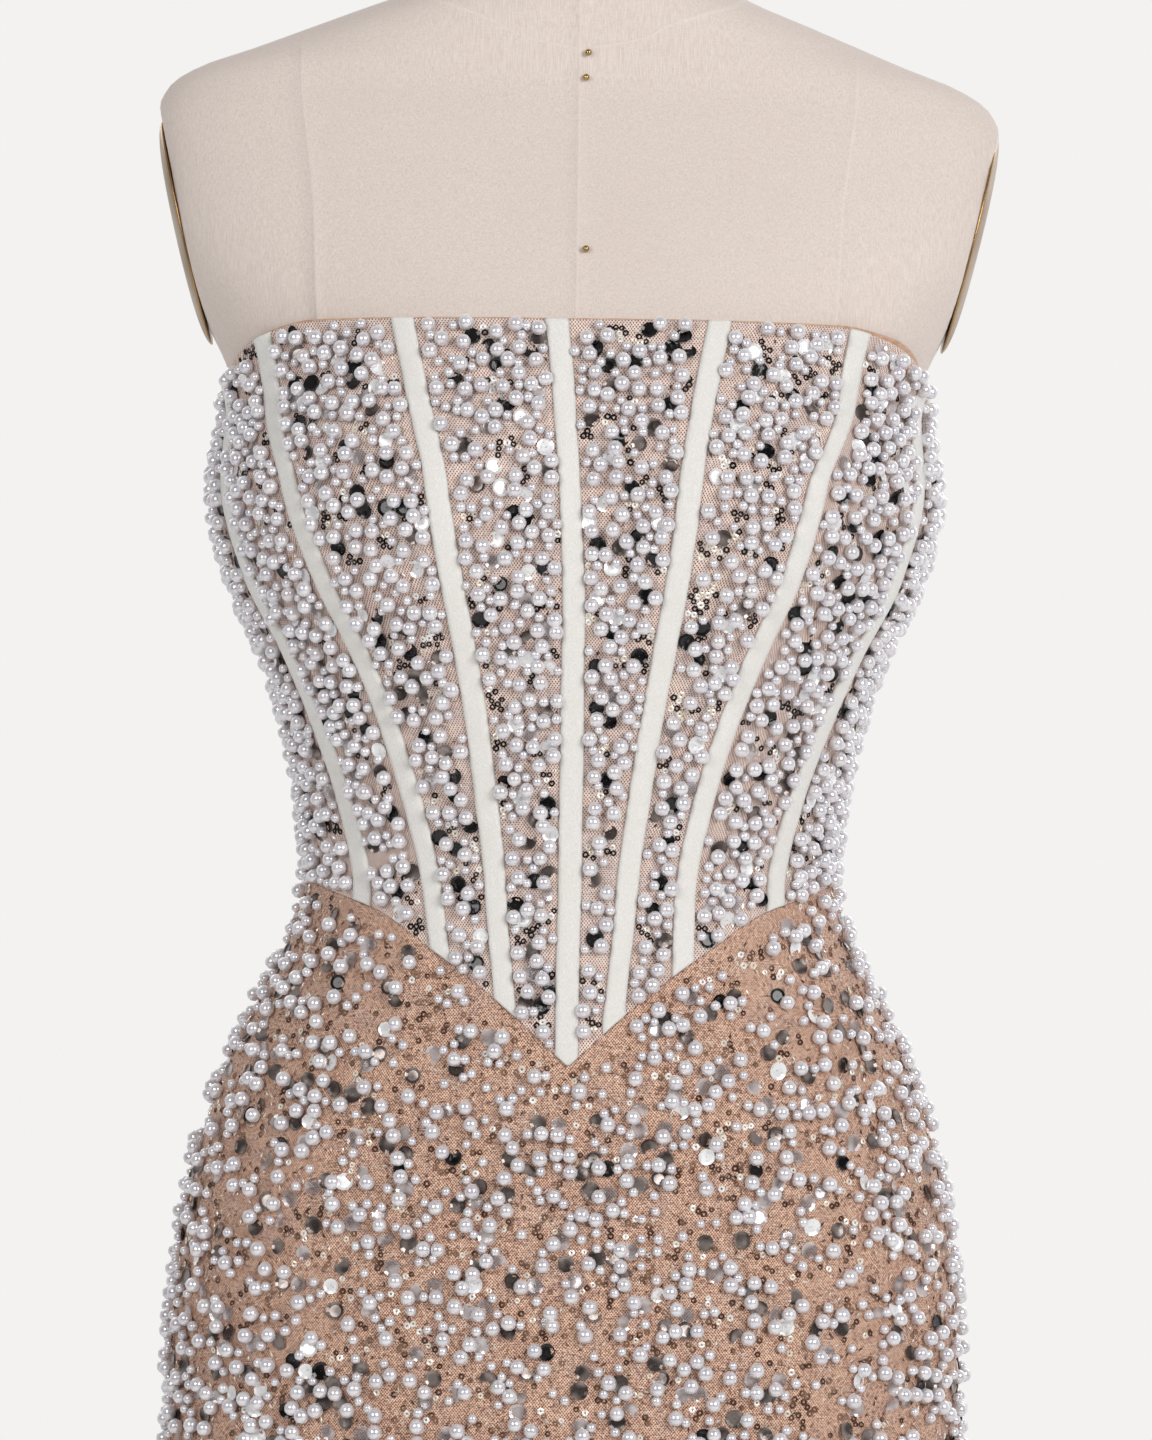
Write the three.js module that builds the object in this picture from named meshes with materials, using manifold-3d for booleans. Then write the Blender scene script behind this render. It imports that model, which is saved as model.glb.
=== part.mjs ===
// A strapless corset-bodice mini dress on a limbless dress form that stands on a round base.
// Millimetres, +Z up. The dress faces -Y, and +X is the viewer's right.
// The origin is the middle of the base's underside.
import * as THREE from 'three';
import { mergeVertices } from 'three/addons/utils/BufferGeometryUtils.js';
import Module from 'manifold-3d';

const wasm = await Module();
wasm.setup();

// ---------------------------------------------------------------- driving dimensions

// The figure: level sections from the hem to the top of the neck.
const FIGURE = [
  { height: 590, halfWidth: 164.0, front: 99, back: 112, square: 2.25 },
  { height: 700, halfWidth: 166.5, front: 99, back: 118, square: 2.25 },
  { height: 780, halfWidth: 167.0, front: 98, back: 125, square: 2.25 },
  { height: 825, halfWidth: 166.7, front: 97, back: 127, square: 2.25 },
  { height: 860, halfWidth: 164.4, front: 96, back: 123, square: 2.25 },
  { height: 910, halfWidth: 156.8, front: 94, back: 111, square: 2.25 },
  { height: 945, halfWidth: 146.3, front: 92, back: 100, square: 2.22 },
  { height: 980, halfWidth: 130.5, front: 88, back: 90, square: 2.2 },
  { height: 1008, halfWidth: 116.5, front: 84, back: 83, square: 2.2 },
  { height: 1038, halfWidth: 109.5, front: 81, back: 79, square: 2.2 },
  { height: 1070, halfWidth: 112.5, front: 85, back: 81, square: 2.2 },
  { height: 1100, halfWidth: 118.6, front: 91, back: 87, square: 2.2 },
  { height: 1135, halfWidth: 130.0, front: 98, back: 95, square: 2.2 },
  { height: 1165, halfWidth: 143.6, front: 103, back: 101, square: 2.2 },
  { height: 1200, halfWidth: 151.2, front: 105, back: 105, square: 2.2 },
  { height: 1235, halfWidth: 147.0, front: 101, back: 107, square: 2.2 },
  { height: 1252, halfWidth: 150.5, front: 97, back: 107.5, square: 2.25 },
  { height: 1272, halfWidth: 160.0, front: 91, back: 107, square: 2.33 },
  { height: 1300, halfWidth: 176.0, front: 80, back: 102, square: 2.42 },
  { height: 1330, halfWidth: 183.0, front: 67, back: 93, square: 2.5 },
  { height: 1360, halfWidth: 184.0, front: 55, back: 77, square: 2.5 },
  { height: 1374, halfWidth: 178.0, front: 50, back: 68, square: 2.5 },
  { height: 1382, halfWidth: 166.0, front: 49, back: 64, square: 2.5 },
  { height: 1390, halfWidth: 144.0, front: 49, back: 62, square: 2.45 },
  { height: 1400, halfWidth: 118.0, front: 50, back: 60, square: 2.35 },
  { height: 1408, halfWidth: 97.0, front: 51, back: 59, square: 2.3 },
  { height: 1416, halfWidth: 76.0, front: 52, back: 58, square: 2.2 },
  { height: 1424, halfWidth: 63.0, front: 53, back: 57, square: 2.1 },
  { height: 1440, halfWidth: 56.0, front: 53, back: 57, square: 2.0 },
  { height: 1490, halfWidth: 53.0, front: 51, back: 55, square: 2.0 },
];
const BUST = { angle: 40, spread: 26, height: 1192, above: 60, below: 60, rise: 13 };

// The form under the dress stops at the hip and turns in towards its bottom board.
const FORM_BOTTOM = 740;
const FORM_TOP = 1490;
const TUCK = { below: 830, depth: 18 };

// The armholes: flat ovals, each closed by a domed metal plate.
const ARMHOLE = { high: { x: 181.5, z: 1362 }, low: { x: 158.5, z: 1264 }, middleY: 5.5 };
const ARM_PLATE = { halfHeight: 49, halfDepth: 36, rim: 0.8, dome: 4.6 };

// Cloth, measured outwards from the form: facing and zip tape, then the panels, then the bone casings.
const UNDER_LAYER = { inner: 0.9, outer: 1.9 };
const PANEL_LAYER = { inner: 2.2, outer: 3.7 };
const BONE_LAYER = { inner: 4.15, outer: 5.65 };
const SEAM_GAP = 0.3;
const SEAM_GAP_ON_SLOPE = 0.42;

// Heights of the dress's edges at angles round the body, from the centre front.
const NECKLINE = [
  { angle: 0, height: 1269 },
  { angle: 56, height: 1269 },
  { angle: 66, height: 1264.5 },
  { angle: 73, height: 1258 },
  { angle: 79, height: 1250.5 },
  { angle: 90, height: 1244 },
  { angle: 130, height: 1232 },
  { angle: 180, height: 1225 },
];
const WAIST_SEAM = [
  { angle: 0, height: 957.5 },
  { angle: 15.4, height: 979.5 },
  { angle: 32.5, height: 1000.5 },
  { angle: 56.5, height: 1023.5 },
  { angle: 90, height: 1033 },
  { angle: 180, height: 1036 },
];
const HEM_HEIGHT = 590;
const FACING_SHOWS = 1.5;

// The bodice seams, in degrees from the centre front, at five heights. The bodice sits slightly askew.
const SEAM_HEIGHTS = { neck: 1270, chest: 1235, bust: 1200, ribs: 1150, waist: 1040, end: 980 };
const SEAMS = [
  { name: 'back_left', neck: -147, chest: -147, bust: -147, ribs: -148, waist: -152, end: -154 },
  { name: 'back_side_left', neck: -118, chest: -117, bust: -116, ribs: -117, waist: -122, end: -124 },
  { name: 'side_left', neck: -92, chest: -90, bust: -89, ribs: -88.5, waist: -89, end: -90 },
  { name: 'side_front_left', neck: -86, chest: -80, bust: -74.5, ribs: -70, waist: -57.8, end: -53 },
  { name: 'outer_left', neck: -65.8, chest: -63, bust: -54.5, ribs: -48.9, waist: -39.0, end: -31 },
  { name: 'inner_left', neck: -39.7, chest: -32.8, bust: -27.6, ribs: -25.2, waist: -21.6, end: -16.6 },
  { name: 'centre', neck: -5.3, chest: -2.7, bust: -1.2, ribs: 0.1, waist: 0, end: -0.4 },
  { name: 'inner_right', neck: 33.5, chest: 27.3, bust: 23.6, ribs: 21.8, waist: 16.9, end: 12.2 },
  { name: 'outer_right', neck: 59.5, chest: 55.0, bust: 45.6, ribs: 41.9, waist: 32.8, end: 29.0 },
  { name: 'side_front_right', neck: 82, chest: 76.5, bust: 72, ribs: 68.8, waist: 57.0, end: 53 },
  { name: 'side_right', neck: 90, chest: 89, bust: 88.5, ribs: 88.5, waist: 89, end: 90 },
  { name: 'back_side_right', neck: 116, chest: 116, bust: 116, ribs: 117, waist: 122, end: 124 },
  { name: 'back_right', neck: 147, chest: 147, bust: 147, ribs: 148, waist: 152, end: 154 },
];
const PANELS = [
  'centre_back_left', 'back_left', 'back_side_left', 'side_left', 'side_front_left', 'front_left',
  'inner_left', 'inner_right', 'front_right', 'side_front_right', 'side_right', 'back_side_right',
  'back_right', 'centre_back_right',
];
const PANEL_COLUMNS = 4;
const BODICE_ROWS = 13;
const SKIRT_ROWS = 12;
const BONE_WIDTH = 10;

// Shallow flutes where the skirt hangs free below the hips: each swings in, deepest at the hem.
const FLUTES = { below: 800 };
const FLUTE_TABLE = [
  { angle: -158, width: 17, depth: 2.6 },
  { angle: -112, width: 20, depth: 3.2 },
  { angle: -63, width: 16, depth: 2.2 },
  { angle: -24, width: 13, depth: 1.6 },
  { angle: 17, width: 15, depth: 2.0 },
  { angle: 71, width: 18, depth: 2.8 },
  { angle: 121, width: 16, depth: 2.4 },
  { angle: 163, width: 14, depth: 3.0 },
];

// The centre-back zip.
const ZIP = { skirtRows: 5, belowEdge: 3, halfOpening: 2.6, tapeHalfWidth: 12 };
const SLIDER = { middle: 1212, halfWidth: 3.75, halfHeight: 5, thick: 1.6, corner: 1.6, clearance: 0.35 };
const BRIDGE = { halfWidth: 0.8, halfHeight: 3.4, rise: 3.4, bar: 1.2 };
const PULL = {
  pivotBelow: 1, pivotRise: 1.1, thick: 1, topBar: 1.2, halfWindow: 1.2, window: 5.4,
  halfTop: 2.4, halfBottom: 3.3, length: 25,
};

// The stand.
const BOTTOM_BOARD = { thick: 8, inset: 2 };
const FLANGE = { radius: 42, thick: 5, collarRadius: 18, collar: 22 };
const POLE_RADIUS = 12.5;
const BASE = { radius: 180, edge: 9, rise: 20, collarRadius: 20, collar: 52 };
const NECK_CAP = { radius: 50, thick: 10, bevel: 3 };
const PIN_HEAD = 1.5;
const PINS = [
  { name: 'pin_neck_upper', height: 1387, x: 3.5 },
  { name: 'pin_neck_lower', height: 1376, x: 2.7 },
  { name: 'pin_chest', height: 1300, x: 3.5 },
];

// ---------------------------------------------------------------- colours

const material = (color, roughness, metalness = 0) =>
  new THREE.MeshStandardMaterial({ color, roughness, metalness });
const LINEN = 0xd8ccc0;
const NET_OVER_NUDE = 0xb9a396;
const SKIRT_MESH = 0xb98b6c;
const VELVET = 0xe9e7df;
const SATIN = 0xcda07d;
const BRASS = 0x8d7a42;
const STEEL = 0xb9b9b6;
const WOOD = 0xb08a5f;
const TAPE = 0xc9a283;
const DARK_METAL = 0x4a4744;

// ---------------------------------------------------------------- curves and the figure's surface

const radians = THREE.MathUtils.degToRad;
const lerp = THREE.MathUtils.lerp;

// A smooth curve through a table's rows that never overshoots them.
function smoothColumn(rows, along, column) {
  const places = rows.map((row) => row[along]);
  const values = rows.map((row) => row[column]);
  const last = places.length - 1;
  const slopes = values.slice(1).map((value, i) => (value - values[i]) / (places[i + 1] - places[i]));
  const tangents = values.map((_, i) => {
    if (i === 0) return slopes[0];
    if (i === last) return slopes[last - 1];
    if (slopes[i - 1] * slopes[i] <= 0) return 0;
    const before = places[i] - places[i - 1];
    const after = places[i + 1] - places[i];
    const nearer = 2 * after + before;
    const farther = after + 2 * before;
    return (nearer + farther) / (nearer / slopes[i - 1] + farther / slopes[i]);
  });
  return (place) => {
    let k = 0;
    while (k < last - 1 && place > places[k + 1]) k += 1;
    const span = places[k + 1] - places[k];
    const s = THREE.MathUtils.clamp((place - places[k]) / span, 0, 1);
    const rise = s * s * (3 - 2 * s);
    const leave = s * (1 - s) * (1 - s) * span * tangents[k];
    const arrive = s * s * (s - 1) * span * tangents[k + 1];
    return lerp(values[k], values[k + 1], rise) + leave + arrive;
  };
}

const halfWidthAt = smoothColumn(FIGURE, 'height', 'halfWidth');
const frontAt = smoothColumn(FIGURE, 'height', 'front');
const backAt = smoothColumn(FIGURE, 'height', 'back');
const squareAt = smoothColumn(FIGURE, 'height', 'square');
const necklineAt = smoothColumn(NECKLINE, 'angle', 'height');
const waistSeamAt = smoothColumn(WAIST_SEAM, 'angle', 'height');
const skirtTopAt = (degrees) => waistSeamAt(degrees) - SEAM_GAP_ON_SLOPE / 2;
const ZIP_TOP = necklineAt(180) - ZIP.belowEdge;
const ZIP_BOTTOM = lerp(skirtTopAt(180), HEM_HEIGHT, ZIP.skirtRows / SKIRT_ROWS);

function bustRise(angle, height) {
  const reach = height > BUST.height ? BUST.above : BUST.below;
  const aside = (Math.abs(angle) - radians(BUST.angle)) / radians(BUST.spread);
  const away = (height - BUST.height) / reach;
  return BUST.rise * Math.exp(-aside * aside - away * away);
}

// Distance from the vertical axis; angles run from the centre front towards +X.
function figureRadius(angle, height) {
  const depth = Math.cos(angle) > 0 ? frontAt(height) : backAt(height);
  const n = squareAt(height);
  const sideways = Math.abs(Math.sin(angle) / halfWidthAt(height)) ** n;
  const frontways = Math.abs(Math.cos(angle) / depth) ** n;
  return (sideways + frontways) ** (-1 / n) + bustRise(angle, height);
}

function onFigure(angle, height) {
  const radius = figureRadius(angle, height);
  return new THREE.Vector3(radius * Math.sin(angle), -radius * Math.cos(angle), height);
}

// The point `out` mm off the figure, along its outward normal.
function offFigure(angle, height, out) {
  const turn = 0.001;
  const climb = 0.5;
  const across = onFigure(angle + turn, height).sub(onFigure(angle - turn, height));
  const up = onFigure(angle, height + climb).sub(onFigure(angle, height - climb));
  return onFigure(angle, height).addScaledVector(across.cross(up).normalize(), out);
}

const smoothStep = (share) => THREE.MathUtils.smoothstep(share, 0, 1);

// How far the form's wall turns in near its bottom.
const tuckAt = (height) => TUCK.depth * smoothStep((TUCK.below - height) / (TUCK.below - FORM_BOTTOM));

// How far the hanging skirt's flutes swing in.
function fluteAt(angle, height) {
  const hang = smoothStep((FLUTES.below - height) / (FLUTES.below - HEM_HEIGHT));
  return FLUTE_TABLE.reduce((sum, flute) => {
    const aside = (angle - radians(flute.angle)) / radians(flute.width);
    return sum + flute.depth * hang * Math.exp(-aside * aside);
  }, 0);
}

// ---------------------------------------------------------------- closed solids from grids

function indexed(points, triangles) {
  const geometry = new THREE.BufferGeometry();
  geometry.setAttribute('position', new THREE.Float32BufferAttribute(points.flatMap((p) => p.toArray()), 3));
  geometry.setIndex(triangles);
  geometry.computeVertexNormals();
  return geometry;
}

// A wall of cloth: grid[row][column] = { angle, height }, rows upwards and columns towards +angle.
// `ease` draws both faces in towards the body.
function clothWall(grid, layer, ease = () => 0) {
  const rows = grid.length;
  const columns = grid[0].length;
  const face = (out) => grid.flat().map(({ angle, height }) =>
    offFigure(angle, height, out - ease(angle, height)));
  const points = [...face(layer.outer), ...face(layer.inner)];
  const outer = (row, column) => row * columns + column;
  const inner = (row, column) => rows * columns + outer(row, column);
  const triangles = [];
  const quad = (a, b, c, d) => triangles.push(a, b, c, a, c, d);
  for (let r = 0; r < rows - 1; r += 1) {
    for (let c = 0; c < columns - 1; c += 1) {
      quad(outer(r, c), outer(r, c + 1), outer(r + 1, c + 1), outer(r + 1, c));
      quad(inner(r, c), inner(r + 1, c), inner(r + 1, c + 1), inner(r, c + 1));
    }
    quad(outer(r, 0), outer(r + 1, 0), inner(r + 1, 0), inner(r, 0));
    quad(outer(r, columns - 1), inner(r, columns - 1), inner(r + 1, columns - 1), outer(r + 1, columns - 1));
  }
  for (let c = 0; c < columns - 1; c += 1) {
    quad(outer(0, c), inner(0, c), inner(0, c + 1), outer(0, c + 1));
    quad(outer(rows - 1, c), outer(rows - 1, c + 1), inner(rows - 1, c + 1), inner(rows - 1, c));
  }
  return indexed(points, triangles);
}

// A solid through level rings, all with the same number of points, closed flat at both ends.
function ringLoft(rings) {
  const around = rings[0].length;
  const points = rings.flat();
  const triangles = [];
  for (let r = 0; r < rings.length - 1; r += 1) {
    for (let c = 0; c < around; c += 1) {
      const next = (c + 1) % around;
      const [here, beside] = [r * around + c, r * around + next];
      triangles.push(here, beside, beside + around, here, beside + around, here + around);
    }
  }
  const top = (rings.length - 1) * around;
  for (let c = 1; c < around - 1; c += 1) {
    triangles.push(0, c + 1, c);
    triangles.push(top, top + c, top + c + 1);
  }
  return indexed(points, triangles);
}

function solidOf(geometry) {
  const bare = geometry.clone();
  bare.deleteAttribute('normal');
  bare.deleteAttribute('uv');
  const merged = mergeVertices(bare, 1e-4);
  return new wasm.Manifold(new wasm.Mesh({
    numProp: 3,
    vertProperties: new Float32Array(merged.attributes.position.array),
    triVerts: new Uint32Array(merged.index.array),
  }));
}

function geometryOf(solid) {
  const { vertProperties, triVerts, numProp } = solid.getMesh();
  const points = [];
  for (let i = 0; i < vertProperties.length; i += numProp) {
    points.push(new THREE.Vector3(vertProperties[i], vertProperties[i + 1], vertProperties[i + 2]));
  }
  return indexed(points, Array.from(triVerts));
}

const dress = new THREE.Group();

function add(name, geometry, finish) {
  const mesh = new THREE.Mesh(geometry, finish);
  mesh.name = name;
  dress.add(mesh);
  return mesh;
}

// Evenly spaced numbers from `from` to `to`, about `step` apart, both ends included.
function spaced(from, to, step) {
  const count = Math.max(1, Math.round(Math.abs(to - from) / step));
  return Array.from({ length: count + 1 }, (_, i) => lerp(from, to, i / count));
}

// ---------------------------------------------------------------- the bodice's seams

const seamCurves = SEAMS.map((seam) => {
  const rows = Object.keys(SEAM_HEIGHTS)
    .map((level) => ({ height: SEAM_HEIGHTS[level], angle: radians(seam[level]) }))
    .sort((a, b) => a.height - b.height);
  return smoothColumn(rows, 'height', 'angle');
});

// The centre-back edges stand apart over the zip, and close below it.
function backOpening(height) {
  const closing = smoothStep((height - (ZIP_BOTTOM - 10)) / 10);
  return lerp(SEAM_GAP / 2, ZIP.halfOpening, closing);
}

// Seam lines in order round the body, from the centre back's left edge to its right edge.
function seamAngle(index, height) {
  const backEdge = Math.PI - Math.asin(backOpening(height) / backAt(height));
  if (index < 0) return -backEdge;
  if (index >= seamCurves.length) return backEdge;
  return seamCurves[index](height);
}

// Height on the bodice: share 0 is the waist seam and share 1 the neckline.
function bodiceHeight(angle, share) {
  const degrees = THREE.MathUtils.radToDeg(Math.abs(angle));
  const bottom = waistSeamAt(degrees) + SEAM_GAP_ON_SLOPE / 2;
  return lerp(bottom, necklineAt(degrees), share);
}

// A point of the bodice a share of the way up, between two seams; the height is found by settling.
function bodicePoint(panel, across, share, inset) {
  let height = lerp(WAIST_SEAM[2].height, NECKLINE[0].height, share);
  let angle = 0;
  for (let pass = 0; pass < 12; pass += 1) {
    const edge = inset / halfWidthAt(height);
    const left = seamAngle(panel - 1, height) + (panel > 0 ? edge : 0);
    const right = seamAngle(panel, height) - (panel < SEAMS.length ? edge : 0);
    angle = lerp(left, right, across);
    height = bodiceHeight(angle, share);
  }
  return { angle, height };
}

const columnShares = spaced(0, 1, 1 / PANEL_COLUMNS);
const bodiceShares = spaced(0, 1, 1 / BODICE_ROWS);

// ---------------------------------------------------------------- dress pieces

function bodicePanel(panel) {
  const grid = bodiceShares.map((share) =>
    columnShares.map((across) => bodicePoint(panel, across, share, SEAM_GAP / 2)));
  return clothWall(grid, PANEL_LAYER);
}

// The front casings have a middle line, so that they follow the bust and the waist seam's point.
function boneCasing(seam) {
  const front = Math.abs(SEAMS[seam].bust) < 80;
  const lines = front ? [-1, 0, 1] : [-1, 1];
  const grid = bodiceShares.map((share) => {
    const middle = bodicePoint(seam + 1, 0, share, 0);
    const radius = figureRadius(middle.angle, middle.height) + BONE_LAYER.inner;
    const half = BONE_WIDTH / 2 / radius / crossing(middle.angle, middle.height);
    return lines.map((line) => {
      const angle = middle.angle + line * half;
      return { angle, height: bodiceHeight(angle, share) };
    });
  });
  return clothWall(grid, BONE_LAYER);
}

// How much longer the way round the surface is than its angle alone makes it.
function crossing(angle, height) {
  const turn = 0.001;
  const step = onFigure(angle + turn, height).distanceTo(onFigure(angle - turn, height));
  return step / (2 * turn * figureRadius(angle, height));
}

// The facing lies under the panels' top row and shows just above them; it stops beside the zip tape.
function necklineFacing() {
  const columns = PANELS.flatMap((_, panel) => columnShares.slice(panel === 0 ? 0 : 1)
    .map((across) => ({ panel, across })));
  const clear = (ZIP.tapeHalfWidth + 1) / backAt(ZIP_TOP);
  const row = (share, lift) => columns.map(({ panel, across }) => {
    const point = bodicePoint(panel, across, share, 0);
    const limit = Math.PI - clear;
    return {
      angle: THREE.MathUtils.clamp(point.angle, -limit, limit),
      height: point.height + lift,
    };
  });
  const grid = [row(1 - 1 / BODICE_ROWS, 0), row(1, 0), row(1, FACING_SHOWS)];
  return clothWall(grid, UNDER_LAYER);
}

// A skirt piece hangs from the waist seam of the panels numbered from `first` up to `last`.
function skirtPiece(first, last, sideGaps) {
  const columns = [];
  for (let panel = first; panel <= last; panel += 1) {
    columnShares.slice(panel === first ? 0 : 1).forEach((across) => columns.push({ panel, across }));
  }
  const shares = spaced(0, 1, 1 / SKIRT_ROWS);
  const grid = shares.map((share) => columns.map(({ panel, across }, c) => {
    const top = bodicePoint(panel, across, 0, 0);
    const height = lerp(HEM_HEIGHT, skirtTopAt(THREE.MathUtils.radToDeg(Math.abs(top.angle))), share);
    let angle = top.angle;
    const radius = figureRadius(angle, height);
    if (c === 0) angle = sideGaps.left === 'back' ? seamAngle(-1, height) : angle + SEAM_GAP / 2 / radius;
    if (c === columns.length - 1) {
      angle = sideGaps.right === 'back' ? seamAngle(SEAMS.length, height) : angle - SEAM_GAP / 2 / radius;
    }
    return { angle, height };
  }));
  return clothWall(grid, PANEL_LAYER, fluteAt);
}

// The tape's rows are those of the skirt and the bodice above it, so that it follows them closely.
function zipTape() {
  const skirtRows = spaced(ZIP_BOTTOM, skirtTopAt(180), (skirtTopAt(180) - ZIP_BOTTOM) / ZIP.skirtRows);
  const bodiceRows = bodiceShares.slice(1, -1).map((share) => bodiceHeight(Math.PI, share));
  const grid = [...skirtRows, ...bodiceRows, ZIP_TOP].map((height) => {
    const half = ZIP.tapeHalfWidth / backAt(height);
    return [-half, 0, half].map((aside) => ({ angle: Math.PI + aside, height }));
  });
  return clothWall(grid, UNDER_LAYER);
}

// ---------------------------------------------------------------- zip slider and pull

const sliderLow = SLIDER.middle - SLIDER.halfHeight;
const sliderHigh = SLIDER.middle + SLIDER.halfHeight;
const SLIDER_SEAT = Math.max(...[sliderLow, sliderHigh].map((height) =>
  backAt(height))) + PANEL_LAYER.outer + SLIDER.clearance;
const SLIDER_FACE = SLIDER_SEAT + SLIDER.thick;

// A flat shape drawn in X and Z, thick along +Y from y = from.
function standing(shape, thick, from) {
  const geometry = new THREE.ExtrudeGeometry(shape, { depth: thick, bevelEnabled: false, curveSegments: 6 });
  geometry.rotateX(Math.PI / 2);
  geometry.translate(0, from + thick, 0);
  return geometry;
}

function block(width, depth, height, x, y, z) {
  return new THREE.BoxGeometry(width, depth, height).translate(x, y, z);
}

function zipSlider() {
  const { halfWidth: w, halfHeight: h, corner: k } = SLIDER;
  const outline = new THREE.Shape();
  outline.moveTo(-w + k, -h);
  outline.lineTo(w - k, -h);
  outline.absarc(w - k, -h + k, k, -Math.PI / 2, 0);
  outline.lineTo(w * 0.8, h - k);
  outline.absarc(w * 0.8 - k, h - k, k, 0, Math.PI / 2);
  outline.absarc(-w * 0.8 + k, h - k, k, Math.PI / 2, Math.PI);
  outline.lineTo(-w, -h + k);
  outline.absarc(-w + k, -h + k, k, Math.PI, 1.5 * Math.PI);
  const body = solidOf(standing(outline, SLIDER.thick, SLIDER_SEAT).translate(0, 0, SLIDER.middle));
  const sunk = 0.4;
  const leg = (z) => block(2 * BRIDGE.halfWidth, BRIDGE.rise + sunk, BRIDGE.bar,
    0, SLIDER_FACE + (BRIDGE.rise - sunk) / 2, z);
  const reach = BRIDGE.halfHeight - BRIDGE.bar / 2;
  const cross = block(2 * BRIDGE.halfWidth, BRIDGE.bar, 2 * BRIDGE.halfHeight,
    0, SLIDER_FACE + BRIDGE.rise - BRIDGE.bar / 2, SLIDER.middle);
  return geometryOf(body
    .add(solidOf(leg(SLIDER.middle - reach)))
    .add(solidOf(leg(SLIDER.middle + reach)))
    .add(solidOf(cross)));
}

// The pull's top bar passes under the slider's bridge, and the bridge's leg stands in its window.
function zipPull() {
  const { halfTop: a, halfBottom: b, topBar, halfWindow, window, length } = PULL;
  const pivotHeight = SLIDER.middle - PULL.pivotBelow;
  const outline = new THREE.Shape();
  outline.moveTo(-a, topBar / 2);
  outline.lineTo(-b, -length + b);
  outline.absarc(0, -length + b, b, Math.PI, 2 * Math.PI);
  outline.lineTo(a, topBar / 2);
  outline.closePath();
  const hole = new THREE.Path();
  hole.moveTo(-halfWindow, -topBar / 2);
  hole.lineTo(halfWindow, -topBar / 2);
  hole.lineTo(halfWindow, -window);
  hole.lineTo(-halfWindow, -window);
  hole.closePath();
  outline.holes.push(hole);
  return standing(outline, PULL.thick, SLIDER_FACE + PULL.pivotRise - PULL.thick / 2)
    .translate(0, 0, pivotHeight);
}

// ---------------------------------------------------------------- dress form

const RING_POINTS = 32;

// Ring points are even round the section's own ellipse, so that the narrow shoulders stay smooth.
function formRing(height, inset) {
  return Array.from({ length: RING_POINTS }, (_, i) => {
    const turn = (2 * Math.PI * i) / RING_POINTS;
    const depth = Math.cos(turn) > 0 ? frontAt(height) : backAt(height);
    const angle = Math.atan2(halfWidthAt(height) * Math.sin(turn), depth * Math.cos(turn));
    const radius = figureRadius(angle, height) - inset;
    return new THREE.Vector3(radius * Math.sin(angle), -radius * Math.cos(angle), height);
  });
}

const FORM_RINGS = [
  ...spaced(FORM_BOTTOM, 950, 30),
  ...spaced(950, 1106, 12).slice(1),
  ...spaced(1106, 1226, 20).slice(1),
  ...spaced(1226, 1286, 10).slice(1),
  ...spaced(1286, 1346, 20).slice(1),
  ...spaced(1346, 1430, 12).slice(1),
  FORM_TOP,
];

const ARMHOLE_LEAN = Math.atan2(ARMHOLE.high.x - ARMHOLE.low.x, ARMHOLE.high.z - ARMHOLE.low.z);
const ARMHOLE_MIDDLE = new THREE.Vector3(
  (ARMHOLE.high.x + ARMHOLE.low.x) / 2, ARMHOLE.middleY, (ARMHOLE.high.z + ARMHOLE.low.z) / 2);

// Turns geometry made round +X at the origin onto an armhole; side is 1 or -1.
function ontoArmhole(geometry, side, out) {
  geometry.translate(out, 0, 0);
  geometry.rotateY(ARMHOLE_LEAN);
  geometry.translate(ARMHOLE_MIDDLE.x, ARMHOLE_MIDDLE.y, ARMHOLE_MIDDLE.z);
  if (side < 0) geometry.rotateZ(Math.PI).translate(0, 2 * ARMHOLE_MIDDLE.y, 0);
  return geometry;
}

function formTorso() {
  const rings = FORM_RINGS.map((height) => formRing(height, tuckAt(height)));
  let solid = solidOf(ringLoft(rings));
  for (const side of [-1, 1]) {
    const cutter = new THREE.BoxGeometry(60, 220, 150);
    solid = solid.subtract(solidOf(ontoArmhole(cutter, side, 30)));
  }
  return geometryOf(solid);
}

function armPlate(side) {
  const arc = spaced(0, Math.PI / 2, Math.PI / 8).map((turn) => new THREE.Vector2(
    ARM_PLATE.halfHeight * Math.cos(turn),
    ARM_PLATE.rim + (ARM_PLATE.dome - ARM_PLATE.rim) * Math.sin(turn)));
  arc[arc.length - 1].x = 0;
  const profile = [new THREE.Vector2(0, 0), new THREE.Vector2(ARM_PLATE.halfHeight, 0), ...arc];
  const plate = new THREE.LatheGeometry(profile, 24);
  plate.rotateZ(-Math.PI / 2);
  plate.scale(1, ARM_PLATE.halfDepth / ARM_PLATE.halfHeight, 1);
  return closed(ontoArmhole(plate, side, SEAM_GAP));
}

// Lathed shapes repeat their seam's points; merging them closes the solid.
function closed(geometry) {
  return geometryOf(solidOf(geometry));
}

function pinHead({ height, x }) {
  const angle = Math.asin(x / frontAt(height));
  const centre = offFigure(angle, height, PIN_HEAD + 1.5 * SEAM_GAP);
  return closed(new THREE.SphereGeometry(PIN_HEAD, 8, 6).translate(centre.x, centre.y, centre.z));
}

// ---------------------------------------------------------------- stand

const TURNED_SIDES = 36;

// A round solid from { radius, height } corners, listed from the axis outwards and up to the axis again.
function turned(corners) {
  const profile = corners.map(({ radius, height }) => new THREE.Vector2(radius, height));
  return closed(new THREE.LatheGeometry(profile, TURNED_SIDES).rotateX(Math.PI / 2));
}

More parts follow.
